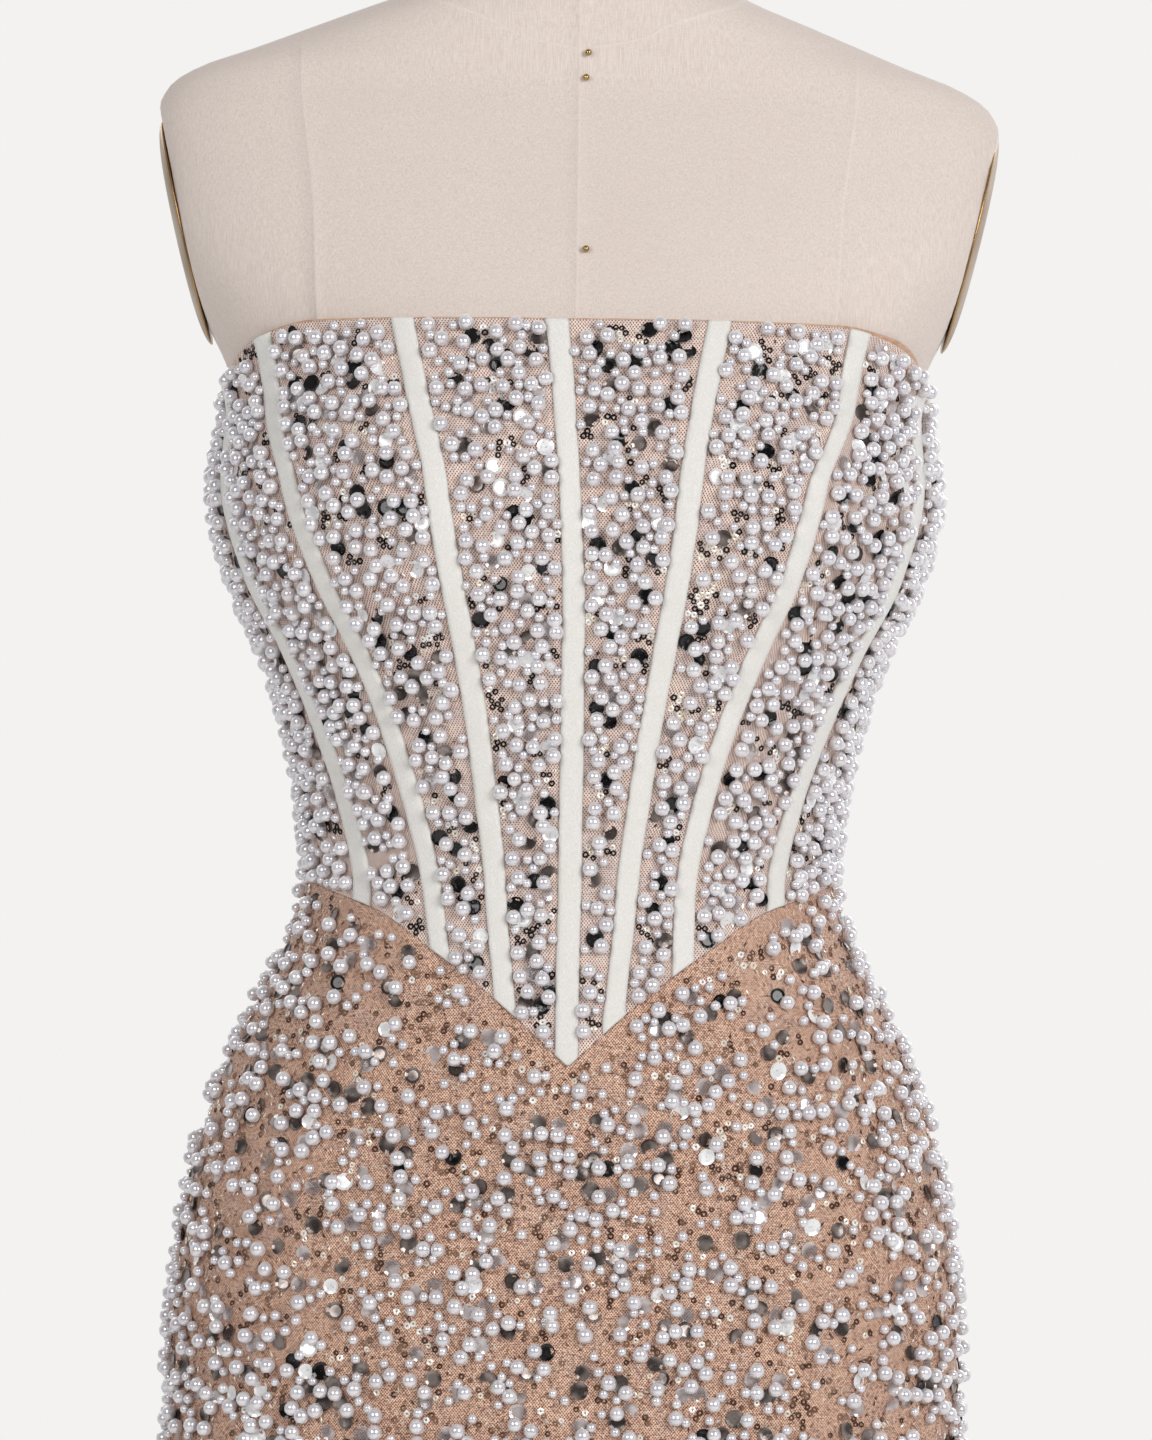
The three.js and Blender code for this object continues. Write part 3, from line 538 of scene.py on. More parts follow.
def make_wood():
    f = Finish("wood", Coat_Weight=0.15)
    bend, pores = f.noise(60), f.noise(0.5, (1, 22, 1))
    x, y, _ = f.parts(f.scaled(f.place, (1 / (7 * MM), 1 / (45 * MM), 1)))
    rings = f.math("SINE", f.times(f.plus(f.plus(x, y), f.times(bend, 9.0)), 3.2))
    grain = f.plus(f.times(f.ramp(rings, -1.0, 1.0), 0.6), f.times(pores, 0.4))
    f.base(f.mix(grain, (132, 92, 58), (188, 146, 102)))
    f.give(Roughness=f.ramp(grain, 0, 1, 0.38, 0.55))
    f.bump(grain, 0.05, 0.5)
    return f


def make_iron():
    f = Finish("stand_iron", Metallic=0.5, Specular_IOR_Level=0.5)
    grit, rub = f.noise(0.9, detail=3.0, rough=0.7), f.noise(45, detail=4.0)
    f.base(f.fade(rub, 0.45, 0.75, (58, 55, 52), (84, 80, 76)))
    f.give(Roughness=f.ramp(grit, 0.3, 0.7, 0.42, 0.62))
    f.bump(grit, 0.12, 0.5)
    return f


def make_pearl():
    f = Finish("pearl", Metallic=0.34, Roughness=0.25, IOR=1.8, Coat_Weight=1.0, Coat_Roughness=0.08,
               Coat_IOR=1.9, Sheen_Weight=1.0, Sheen_Roughness=0.45)
    body = f.fade(f.noise(5, detail=0.0), 0.4, 0.6, (224, 220, 226), (241, 238, 241))
    f.base(f.fade(f.noise(9, detail=0.0), 0.45, 0.7, body, (234, 224, 225), 0.5))
    return f


def make_glossy(name, slot, light, dark, roughness, metallic, opacity=1.0):
    """Sequins, small rings and glints, whose tone changes from one to the next. The dark, grey and bright
    sequin finishes are painted reflections of one mirror-silver sequin.
    """
    f = Finish(name, slot, Metallic=metallic, Alpha=opacity)
    f.base(f.fade(f.noise(6, detail=0.0), 0.40, 0.62, dark, light))
    f.give(Roughness=f.ramp(f.noise(1.2, detail=1.0), 0.3, 0.7, roughness * 0.7, roughness * 1.4))
    f.bump(f.noise(1.6, detail=1.0), 0.08, 0.5)
    return f


LINEN, VELVET, SATIN, TAPE = make_linen(), make_velvet(), make_satin(), make_tape()
PLATE, WOOD, IRON, PEARL = make_plate(), make_wood(), make_iron(), make_pearl()
BODICE_NET = make_net("bodice_net", (255, 232, 220), (238, 206, 192), (84, 50, 40), (204, 180, 174),
                      (246, 234, 230), 1.35 * MM, 1.7 * MM, 0.35)
SKIRT_MESH = make_net("skirt_mesh", (242, 198, 172), (208, 160, 134), (84, 48, 34), (196, 158, 144),
                      (230, 206, 194), 1.2 * MM, 1.45 * MM, 1.0)
ZIP_METAL = make_metal("zip_metal", (206, 204, 200), (170, 167, 162), 0.28, 0.5)
BRASS = make_metal("brass", (214, 190, 136), (160, 134, 88), 0.2, 0.4, (1, 1, 8))
STEEL = make_metal("stand_steel", (196, 196, 194), (168, 168, 166), 0.26, 0.3, (8, 8, 1))
# The dark, grey and bright sequins are one mirror-silver sequin in painted reflections: black for the dark
# room, grey for the half-lit room, white for the softboxes
GLOSSY = {name: make_glossy(name, slot, *rest) for name, slot, *rest in (
    ("sequin_dark", "sequin_dark", (30, 26, 26), (4, 4, 5), 0.1, 0.1),
    ("sequin_grey", "sequin_dark", (150, 138, 132), (78, 68, 64), 0.18, 0.5),
    ("sequin_bright", "sequin_bright", (255, 255, 255), (250, 249, 248), 0.38, 0.5),
    ("sequin_clear", "sequin_clear", (236, 234, 236), (150, 144, 146), 0.14, 0.35, 0.6),
    ("seed_bead_brown", "seed_bead", (158, 124, 102), (84, 56, 44), 0.15, 0.1),
    ("seed_bead_dark", "seed_bead", (36, 28, 26), (6, 5, 6), 0.2, 0.2),
    ("seed_bead", "seed_bead", (255, 254, 250), (240, 228, 210), 0.3, 0.3))}

# ---- the dress form

# The form's seams. Princess seams: height and distance from the middle, in mm, in front and behind.
PRINCESS_SEAMS = [
    [(740, 96), (860, 98), (1000, 62), (1100, 70), (1200, 92), (1279, 108.7), (1323, 112), (1353, 116),
     (1376, 118.6), (1490, 119.5)],
    [(740, 92), (860, 90), (1000, 58), (1100, 66), (1200, 84), (1279, 98), (1323, 106), (1353, 112),
     (1376, 116), (1490, 119.5)]]
PRINCESS_TOP = 1394 * MM
princess_curves = [smooth_column(*np.transpose(table) * MM) for table in PRINCESS_SEAMS]
NECK_SEAM = [(0, 1388.5), (25, 1393), (53, 1408.5), (75, 1417), (90, 1420), (130, 1421), (180, 1421)]
neck_seam_at = height_round(NECK_SEAM)
SEAM_RIDGE, SEAM_LIP, NECK_LIP = 0.4 * MM, 0.7 * MM, 0.8 * MM
BETWEEN_SEAMS = 20
# Columns in order round the form: the seam that each follows, and its share of the way to the next, or
# SEAM_LINE for a column on the seam itself.
SEAM_LINE = -1.0
FORM_SEGMENT = np.repeat(np.arange(8), BETWEEN_SEAMS + 1)
FORM_SHARE = np.tile(np.concatenate([[SEAM_LINE], np.linspace(0, 1, BETWEEN_SEAMS)]), 8)
ROWS_UNDER_NECK_SEAM, ROWS_OVER_NECK_SEAM = 24, 18
ARMHOLE_EDGE = 0.7 * MM
# The foot board's outline lies this far inside the figure; its edge is (inset, drop) pairs, in mm.
BOARD_INSET = 20
BOARD_EDGE = [(3.0, -8.3), (1.2, -8.3), (0.4, -8.0), (0, -7.2), (0, -1.4), (0.4, -0.6), (1.2, -0.3),
              (3.0, -0.3)]


def princess_turn(height, back):
    """The princess seam as a turn round the section's own ellipse."""
    n = square_at(height)
    share = np.minimum(princess_curves[back](height) / half_width_at(height), 0.94)
    turn = np.arctan2(share, (1 - share ** n) ** (1 / n))
    return math.pi - turn if back else turn


def turned_angle(turn, height):
    """The angle of a turn round the section's own ellipse."""
    return np.arctan2(half_width_at(height) * np.sin(turn), depth_at(turn, height) * np.cos(turn))


def form_grid(height):
    """Angles of the form's columns at a grid of heights, and how far its seams stand up there, 0 to 1."""
    front, back, quarter = princess_turn(height, False), princess_turn(height, True), height * 0 + math.pi / 2
    turns = np.stack([-2 * quarter, -back, -quarter, -front, 0 * quarter, front, quarter, back, 2 * quarter])
    column = np.arange(len(FORM_SEGMENT))

    def edge(offset, side):
        turn = turns[FORM_SEGMENT + offset, :, column].T
        sideways, frontways = half_width_at(height) * np.cos(turn), depth_at(turn, height) * np.sin(turn)
        return turn, turn + side * SEAM_LIP / np.hypot(sideways, frontways)
    seam, first = edge(0, 1)
    _, final = edge(1, -1)
    on_seam = FORM_SHARE == SEAM_LINE
    turn = np.where(on_seam, seam, lerp(first, final, FORM_SHARE))
    princess_ends = np.where(FORM_SEGMENT % 2 == 1, smoothstep((PRINCESS_TOP - height) / (8 * MM)), 1.0)
    return turned_angle(turn, height), np.where(on_seam, princess_ends, 0.0)


def arm_plane(side):
    """A point on the armhole's plane, its outward normal and its upward direction."""
    lean = math.atan2(ARM_HIGH[0] - ARM_LOW[0], ARM_HIGH[1] - ARM_LOW[1])
    middle = np.array([side * (ARM_HIGH[0] + ARM_LOW[0]) / 2, ARM_MIDDLE_Y, (ARM_HIGH[1] + ARM_LOW[1]) / 2])
    out = np.array([side * math.cos(lean), 0, -math.sin(lean)])
    up = np.array([side * math.sin(lean), 0, math.cos(lean)])
    return middle, out, up


def form_torso():
    """The linen form: thin raised seams, one of them round the neck, and flat armholes with soft edges."""
    low = np.concatenate([np.arange(740, 1180, 22), np.arange(1180, 1338, 4.5)])[:, None] * MM
    high = np.arange(1454, 1490.1, 4)[:, None] * MM
    neck_row = len(low) + ROWS_UNDER_NECK_SEAM + 1
    seam = neck_seam_at(np.zeros(len(FORM_SEGMENT)))
    for _ in range(3):
        beside = np.array([-NECK_LIP, 0, NECK_LIP])[:, None] + seam
        height = np.concatenate([
            low + 0 * seam,
            lerp(1.34, beside[:1] - NECK_LIP, np.linspace(0, 1, ROWS_UNDER_NECK_SEAM)[:, None]), beside,
            lerp(beside[2:] + NECK_LIP, 1.45, np.linspace(0, 1, ROWS_OVER_NECK_SEAM)[:, None]),
            high + 0 * seam])
        angle, seams = form_grid(height)
        seam = neck_seam_at(angle[neck_row])
    seams[neck_row] = 1
    tuck = TUCK_DEPTH * smoothstep((TUCK_FROM - height) / (TUCK_FROM - FORM_BOTTOM))
    points = on_figure(angle, height, tuck - SEAM_RIDGE * seams)
    for side in (-1, 1):
        middle, out, _ = arm_plane(side)
        beyond = (points - middle) @ out
        points = points + (-ARMHOLE_EDGE * np.logaddexp(0, -beyond / ARMHOLE_EDGE) - beyond)[..., None] * out
    # The shoulders tilt: lower on the viewer's right, a little higher on the other side
    across, rise = points[..., 0].copy(), points[..., 2].copy()
    settle = -0.02 * across - 0.0087 * np.abs(across)
    points[..., 2] += settle * smoothstep((rise - 1.3) / 0.06) * smoothstep((1.47 - rise) / 0.05)
    ends = [points[0].mean(axis=0), points[-1].mean(axis=0)]
    form = add_mesh("linen_form", np.concatenate([points.reshape(-1, 3), ends]), closed_rings(*height.shape))
    # The seam marks also lighten the linen along the ridges, as a painted highlight.
    mark_points(form, "seam", np.append(seams.ravel(), [0, 0]))
    return form


def across_axes(out, up):
    """Axes whose third is `out`, for turned shapes: rows of the matrix are the world directions."""
    return np.stack([up, np.cross(out, up), out])


def arm_plate(side, word):
    """A cushioned oval plate with a thin bright rim."""
    middle, out, up = arm_plane(side)
    high, wide = 49.0, 36.0
    rim = [(high, 0), (high + 0.45, 0.15), (high + 0.6, 0.45), (high + 0.45, 0.75), (high, 0.9)]
    share = np.sin(np.linspace(math.pi / 2, 0, 15)[:-1]) * 0.985
    dome = np.stack([high * share, 0.9 + 3.7 * (1 - share ** 4) ** 0.7], axis=-1)
    profile = np.concatenate([[(0, 0)], rim, dome, [(0, 4.6)]]) * MM
    points, faces = lathe(profile, 72, middle + out * SEAM_GAP, across_axes(out, up), wide / high)
    plate = add_mesh(f"brass_plate_{word}", points, faces)
    rise = (points - middle) @ out - SEAM_GAP
    mark_points(plate, "rim", 1 - smoothstep((rise - 0.8 * MM) / (0.5 * MM)))
    return plate


def pin(name, height, x):
    """A ball-headed pin pushed into the linen."""
    angle = math.asin(x / float(front_at(height)))
    place = off_figure(angle, height, -0.5 * MM)
    out = normal_at(angle, height)
    head = [(1.5 * math.sin(t), 2.45 - 1.5 * math.cos(t)) for t in np.linspace(0, math.pi, 13)[2:-1]]
    profile = np.array([(0, 0.0), (0.3, 0.01), (0.3, 1.0), *head, (0, 3.95)]) * MM
    return add_mesh(name, *lathe(profile, 20, place, across_axes(out, unit(np.cross(out, (1.0, 0, 0))))))


def rounded(corners, radius, steps=4):
    """A turned profile in mm, whose corners away from the axis are rounded."""
    corners = [np.array(c, float) for c in corners]
    path = [corners[0]]
    for before, corner, after in zip(corners, corners[1:], corners[2:]):
        inward, onward = before - corner, after - corner
        reach = min(radius, 0.45 * np.linalg.norm(inward), 0.45 * np.linalg.norm(onward))
        start, end = corner + reach * unit(inward), corner + reach * unit(onward)
        path += [lerp(lerp(start, corner, s), lerp(corner, end, s), s) for s in np.linspace(0, 1, steps)]
    return np.array([*path, corners[-1]]) * MM


def turned(name, node, finish, corners, radius, sides=96):
    dress_up(add_mesh(name, *lathe(rounded(corners, radius), sides)), finish, node)


def bottom_board():
    """A flat board, rounded a little at its edge, in the outline of the form's foot."""
    sides = 128
    angle = turned_angle(ring_turns(sides), FORM_BOTTOM)
    rows = [on_figure(angle, FORM_BOTTOM, (BOARD_INSET + inset) * MM) + np.array([0, 0, drop * MM])
            for inset, drop in BOARD_EDGE]
    ends = [(0, 0, FORM_BOTTOM + BOARD_EDGE[row][1] * MM) for row in (0, -1)]
    return add_mesh("foot_board", np.concatenate([*rows, ends]), closed_rings(len(rows), sides))


dress_up(form_torso(), LINEN, "form_torso")
for side, word in ((-1, "left"), (1, "right")):
    dress_up(arm_plate(side, word), PLATE, f"arm_plate_{word}")
for name, height, x in (("neck_upper", 1387, 3.5), ("neck_lower", 1376, 2.7), ("chest", 1300, 3.5)):
    dress_up(pin(f"ball_pin_{name}", height * MM, x * MM), BRASS, f"pin_{name}")
turned("turned_neck_cap", "neck_cap", WOOD,
       [(0, 1490.3), (50, 1490.3), (50, 1497.5), (46.5, 1500), (0, 1501)], 1.6)
dress_up(bottom_board(), WOOD, "bottom_board")
turned("iron_flange", "stand_flange", IRON,
       [(0, 704.4), (18, 704.4), (18, 726.4), (42, 726.4), (42, 731.4), (0, 731.4)], 1.0)
turned("steel_pole", "stand_pole", STEEL, [(0, 52.3), (12.5, 52.3), (12.5, 704.1), (0, 704.1)], 0.6, 64)
turned("iron_base", "stand_base", IRON,
       [(0, 0), (180, 0), (180, 9), (175, 13), (32, 20), (20, 28), (20, 52), (0, 52)], 2.0, 128)

# ---- the dress's cloth

PANEL_COLUMNS, PANEL_ROWS = edged(11, [0.012, 0.035])[None, :], edged(54, [0.002, 0.006])[:, None]
BONE_COLUMNS, BONE_ROWS = edged(7, [0.05])[None, :], edged(82, [0.0015, 0.004])[:, None]
SKIRT_COLUMNS, SKIRT_ROWS = np.linspace(0, 1, 9), edged(56, [0.0008, 0.0026])[:, None]
TAPE_COLUMNS, TAPE_ROWS = np.linspace(-1, 1, 9)[None, :], edged(70, [0.002, 0.006])[:, None]
HEM_FOLD, NET_EDGE, NET_SEAT = 15 * MM, 0.12 * MM, 0.85


def bone_strip(index, name):
    """A velvet casing over one seam: a low dome with soft, slightly wavy edges."""
    middle, level = bodice_point(index + 1, 0, BONE_ROWS, 0)
    lines = BONE_COLUMNS * 2 - 1
    phase = 1.7 * index
    left, right = (0.12 * np.sin(level / (9 * MM) + turn) + 0.07 * np.sin(level / (3.1 * MM) + 2 * turn)
                   for turn in (phase, phase + 2.2))
    half = 5 * MM + np.where(lines < 0, left, right) * MM * np.abs(lines)
    angle = middle + lines * half / speed_at(middle, level)
    height = lerp(waist_seam_at(angle) + SLOPE_GAP / 2, neckline_at(angle), BONE_ROWS)
    crown = 0.45 * MM * (1 - lines ** 4) * (1 + 0.25 * np.sin(height / (17 * MM) + phase))
    return cloth_shell(f"velvet_{name}", angle, height, BONE_INNER, BONE_OUTER - 0.4 * MM, 1.0 * MM, crown,
                       0.05)


def neckline_facing():
    """A narrow satin edge that shows just above the net, folded over at its top."""
    clear = 13 * MM / back_at(ZIP_TOP)
    angle = np.linspace(-math.pi + clear, math.pi - clear, 361)[None, :]
    edge = neckline_at(angle)
    degrees = np.degrees(angle)
    shown = 1.2 + 1.7 * np.exp(-((degrees - 72) / 9) ** 2) - 0.8 * np.exp(-((degrees + 74) / 12) ** 2)
    shown = shown + 0.5 * np.exp(-((np.abs(degrees) - 130) / 30) ** 2)
    below = np.array([-19, -12, -6, -2])[:, None] * MM
    above = np.array([-0.2, 0.3, 0.65, 0.92, 1.0])[:, None] * MM
    height = edge + np.concatenate([below + 0 * edge, above * shown])
    angle = np.repeat(angle, len(height), axis=0)
    ripple = 0.12 * MM * np.sin(angle * 31 + 2 * np.sin(angle * 7)) * (height > edge)
    return cloth_shell("satin_facing", angle, height, UNDER_INNER, UNDER_OUTER, 0.5 * MM, ripple)


def skirt_piece(name, first, last):
    """A skirt piece hangs from the waist seam of panels first to last; its hem is folded up inside."""
    columns = [(first, 0.0), (first, 0.006), (first, 0.02)]
    columns += [(panel, across) for panel in range(first, last + 1)
                for across in SKIRT_COLUMNS[1:] if (panel, across) < (last, 0.99)]
    columns += [(last, 0.98), (last, 0.994), (last, 1.0)]
    top_angle = np.array([float(bodice_point(panel, across, 0, 0)[0]) for panel, across in columns])
    height = lerp(HEM, waist_seam_at(top_angle) - SLOPE_GAP / 2 + 0.35 * MM, SKIRT_ROWS)
    angle = np.repeat(top_angle[None, :], len(height), axis=0)
    radius = figure_radius(angle, height)
    for column, side, at_zip in ((0, -1, first == 0), (-1, 1, last == len(SEAMS))):
        if at_zip:
            angle[:, column] = seam_angle(first - 1 if side < 0 else last, height[:, column])
        else:
            angle[:, column] -= side * SEAM_GAP / 2 / radius[:, column]
    angle[:, 1:3] = np.maximum(angle[:, 1:3], angle[:, :1] + np.array([0.004, 0.012]))
    angle[:, -3:-1] = np.minimum(angle[:, -3:-1], angle[:, -1:] - np.array([0.012, 0.004]))
    stitch = 0.35 * MM * np.exp(-((height - HEM - HEM_FOLD) / (1.2 * MM)) ** 2)
    lift = -flute_at(angle, height) - stitch + 0.25 * MM * smoothstep((HEM + HEM_FOLD - height) / (3 * MM))
    return cloth_shell(name, angle, height, PANEL_INNER, PANEL_OUTER, NET_EDGE, lift, NET_SEAT)


def zip_tape():
    height = TAPE_ROWS * (ZIP_TOP - ZIP_BOTTOM) + ZIP_BOTTOM + 0 * TAPE_COLUMNS
    angle = math.pi + TAPE_COLUMNS * TAPE_HALF / back_at(height)
    return cloth_shell("woven_zip_tape", angle, height, UNDER_INNER, UNDER_OUTER, 0.5 * MM)


PANEL_PIECES = [cloth_shell(f"net_{name}", *bodice_point(index, PANEL_COLUMNS, PANEL_ROWS), PANEL_INNER,
                            PANEL_OUTER, NET_EDGE, seat=NET_SEAT) for index, name in enumerate(PANELS)]
for piece, name in zip(PANEL_PIECES, PANELS):
    cloth(piece, BODICE_NET, f"bodice_{name}")
for index, name in enumerate(SEAMS):
    cloth(bone_strip(index, name), VELVET, f"bone_{name}")
cloth(neckline_facing(), SATIN, "neckline_facing")
for name, first, last in (("back_left", 0, SIDE_LEFT), ("front", SIDE_LEFT + 1, SIDE_RIGHT),
                          ("back_right", SIDE_RIGHT + 1, len(SEAMS))):
    cloth(skirt_piece(f"mesh_skirt_{name}", first, last), SKIRT_MESH, f"skirt_{name}")
cloth(zip_tape(), TAPE, "zip_tape")


def zip_teeth():
    """Small blunt blocks that come in turn from each side and meet in the middle of the tape."""
    rise = np.arange(ZIP_BOTTOM + 6 * MM, ZIP_TOP - 4 * MM, 1.0 * MM)
    side = np.where(np.arange(len(rise)) % 2, 1, -1)
    foot = np.array([(-1.25, 0, -0.5), (1.25, 0, -0.5), (1.25, 0, 0.5), (-1.25, 0, 0.5)])
    head = foot * (0.86, 1, 0.64) + (0, 0.9, 0)
    middle = np.stack([side * 0.85 * MM, back_at(rise) + UNDER_OUTER + 0.02 * MM, rise], axis=-1)
    points = np.concatenate([foot, head])[None] * MM + middle[:, None]
    block = np.array([(0, 1, 2, 3), (4, 7, 6, 5), (0, 4, 5, 1), (1, 5, 6, 2), (2, 6, 7, 3), (3, 7, 4, 0)])
    faces = block[None] + 8 * np.arange(len(rise))[:, None, None]
    return add_mesh("zip_teeth", points, faces.reshape(-1, 4), smooth=False)


dress_up(zip_teeth(), ZIP_METAL)
for node in ("zip_slider", "zip_pull"):
    piece = bpy.data.objects[node]
    piece.data.materials.clear()
    piece.data.materials.append(ZIP_METAL.material)
    soft = piece.modifiers.new("soft_edges", "BEVEL")
    soft.width, soft.segments, soft.limit_method, soft.angle_limit = 0.15 * MM, 2, "ANGLE", math.radians(40)

# ---- pearls, sequins and small rings

rng = np.random.default_rng(11)
# Heights between which each zone's beads are tried, and the skirt's area
ZONE_HEIGHTS = {"bodice": (957 * MM, 1270 * MM), "skirt": (HEM, 1036 * MM)}
SKIRT_AREA = 0.40
# More metres to a radian than anywhere round the figure
TOP_SPEED = 0.19
TRIES_ALONE, TRIES_CROWDED = 11, 5

# Least distances between middles, in mm, in the order that the kinds are placed
KINDS = ["pearl", "small", "sequin", "ring", "glint"]
APART = np.array([
    (6.1, 4.9, 3.7, 3.9, 3.3),
    (4.9, 4.1, 3.2, 3.0, 2.3),
    (3.7, 3.2, 6.6, 4.6, 4.2),
    (3.9, 3.0, 4.6, 2.5, 1.9),
    (3.3, 2.3, 4.2, 1.9, 1.8)]) * MM
# Least distances, in mm: bone's middle line, neckline, and the waist seam from above; then the waist seam
# from below, hem, and side seam
CLEAR = {
    "pearl": (6.6, 3.0, 1.8, 6.2, 5.0, 2.5),
    "small": (5.9, 2.2, 1.4, 4.6, 4.5, 2.0),
    "sequin": (7.2, 3.4, 2.6, 6.4, 5.5, 3.6),
    "ring": (6.2, 1.8, 1.6, 3.4, 3.5, 1.6),
    "glint": (5.9, 1.4, 1.4, 2.8, 3.0, 1.4)}
# For each kind in order: how many to a square centimetre, and the share that crowds up against others
DENSITY = {"bodice": ((1.04, 0.0), (0.76, 0.5), (0.42, 0.6), (1.50, 0.55), (0.90, 0.3)),
           "skirt": ((0.47, 0.0), (0.57, 0.4), (0.38, 0.6), (0.95, 0.3), (1.35, 0.2))}
# The kind that each crowds up against, and how far apart their middles are, in mm
CROWD = {"small": ("pearl", 4.95, 5.5), "sequin": ("pearl", 3.8, 5.2), "ring": ("ring", 2.55, 2.75),
         "glint": ("pearl", 3.4, 4.4)}
BACK_CLEAR = 11 * MM
CELL = 7 * MM


def slant(curve_at, value, step):
    """Slope of a curve of heights or angles."""
    return (curve_at(value + step) - curve_at(value - step)) / (2 * step)


def is_clear(zone, kind, angle, height):
    """Whether places lie inside the zone, clear of its seams, bones and edges."""
    bone, top, seam_above, seam_below, hem, side = np.array(CLEAR[kind]) * MM
    speed = speed_at(angle, height)
    lean = np.cos(np.arctan(slant(waist_seam_at, angle, 0.002) / speed))
    over_seam = (height - waist_seam_at(angle)) * lean
    clear = (math.pi - np.abs(angle)) * speed > BACK_CLEAR
    # Away from the front the beads come closer to the waist seam and to the bones
    seam_below = seam_below * (1 - 0.5 * smoothstep((np.abs(angle) - 0.9) / 0.3))
    bone = bone * (1 - 0.38 * smoothstep((np.abs(angle) - 1.22) / 0.16))
    if zone == "skirt":
        beside = np.abs(np.abs(angle) - math.pi / 2) * speed
        return clear & (-over_seam > seam_below) & (height - HEM > hem) & (beside > side)
    clear &= (over_seam > seam_above) & (neckline_at(angle) - height > top)
    for curve in seam_curves:
        bone_lean = np.cos(np.arctan(slant(curve, height, 1 * MM) * speed))
        clear &= np.abs(angle - curve(height)) * speed * bone_lean > bone
    return clear


def outer_face(zone, angle, height):
    swing = flute_at(angle, height) if zone == "skirt" else 0 * angle
    return off_figure(angle, height, PANEL_OUTER - swing)


def open_places(zone, count):
    """At most `count` candidate places, even over the zone's surface."""
    angle = rng.uniform(-math.pi, math.pi, count)
    height = rng.uniform(*ZONE_HEIGHTS[zone], count)
    # The bodice is a little more open in front than round its sides and back
    fuller = lerp(0.76, 1.0, smoothstep((np.abs(angle) - 0.75) / 0.4)) if zone == "bodice" else 1.0
    even = rng.uniform(0, TOP_SPEED, count) < speed_at(angle, height) * fuller
    return angle[even], height[even]


def crowded_places(kind, anchors, count):
    """Candidate places that touch a bead already placed."""
    chosen = anchors[rng.integers(len(anchors), size=count)]
    turn, reach = rng.uniform(0, 2 * math.pi, count), rng.uniform(*CROWD[kind][1:], count) * MM
    angle, height = chosen[:, 0], chosen[:, 1]
    angle = angle + reach * np.cos(turn) / speed_at(angle, height)
    # The cloth leans, so a step up it climbs a little less
    return angle, height + reach * np.sin(turn) * 0.97


def place_beads(zone, area):
    """Angles and heights of each kind of bead over a zone of `area` square metres."""
    cells, placed = {}, {}

    def is_free(number, point, cell):
        """Whether a place is far enough from those already taken in the cells round it."""
        return all(math.dist(point, there) >= APART[number, other]
                   for step in product((-1, 0, 1), repeat=3)
                   for other, there in cells.get(tuple(c + s for c, s in zip(cell, step)), ()))

    def fill(number, found, goal, angle, height):
        clear = is_clear(zone, KINDS[number], angle, height)
        angle, height = angle[clear], height[clear]
        for a, h, point in zip(angle, height, outer_face(zone, angle, height).tolist()):
            cell = tuple(int(c // CELL) for c in point)
            if len(found) < goal and is_free(number, point, cell):
                cells.setdefault(cell, []).append((number, point))
                found.append((a, h))
        return found
    for number, (kind, (density, crowding)) in enumerate(zip(KINDS, DENSITY[zone])):
        wanted = int(density * area * 1e4)
        alone = int(wanted * (1 - crowding))
        found = fill(number, [], alone, *open_places(zone, TRIES_ALONE * alone))
        if crowding:
            anchors = np.array(found if CROWD[kind][0] == kind else placed[CROWD[kind][0]])
            found = fill(number, found, wanted, *crowded_places(kind, anchors, TRIES_CROWDED * wanted))
        placed[kind] = np.array(found)
    return placed


def ball(radius, sides, polar, sink):
    """A bead's points, triangles and normals, through rings at polar angles; sunk a little into the cloth."""
    rings = [(math.sin(angle), math.cos(angle)) for angle in np.radians(polar)]
    points, faces = lathe([(0, rings[0][1]), *rings, (0, 1)], sides)
    normals = points.copy()
    normals[-2] = (0, 0, -1)
    return points * radius + np.array([0, 0, radius - sink]), faces, normals


def disc(rings, sides):
    """A turned open shape through (radius, rise) rings, in mm: a cup or a small ring."""
    points = [(r * math.cos(t), r * math.sin(t), z) for r, z in rings for t in ring_turns(sides)]
    return np.array(points) * MM, halved(grid_faces(len(rings), sides, wrap=True)), None


def strewn(name, shape, zone, places, finish, tip, size, raise_by=0.0):
    """One joined mesh of a small shape at many places, each turned, tipped and sized at random."""
    points, faces, normals = shape
    count = len(places)
    out = normal_at(places[:, 0], places[:, 1])
    origin = outer_face(zone, places[:, 0], places[:, 1]) + out * raise_by
    toss = rng.normal(size=(count, 3))
    sideways = unit(toss - (toss * out).sum(-1, keepdims=True) * out)
    out = unit(out + tip * rng.uniform(0.2, 1.0, (count, 1)) * sideways)
    side = unit(np.cross(out, toss))
    axes = np.stack([side, np.cross(out, side), out], axis=1)
    scale = rng.uniform(*size, (count, 1, 1))
    world = np.einsum("pk,ckj->cpj", points, axes) * scale + origin[:, None]
    faces = faces[None] + (np.arange(count) * len(points))[:, None, None]
    turned_normals = None if normals is None else np.einsum("pk,ckj->cpj", normals, axes)
    piece = add_mesh(name, world, faces.reshape(-1, 3), normals=turned_normals, smooth=normals is not None)
    dress_up(piece, finish)


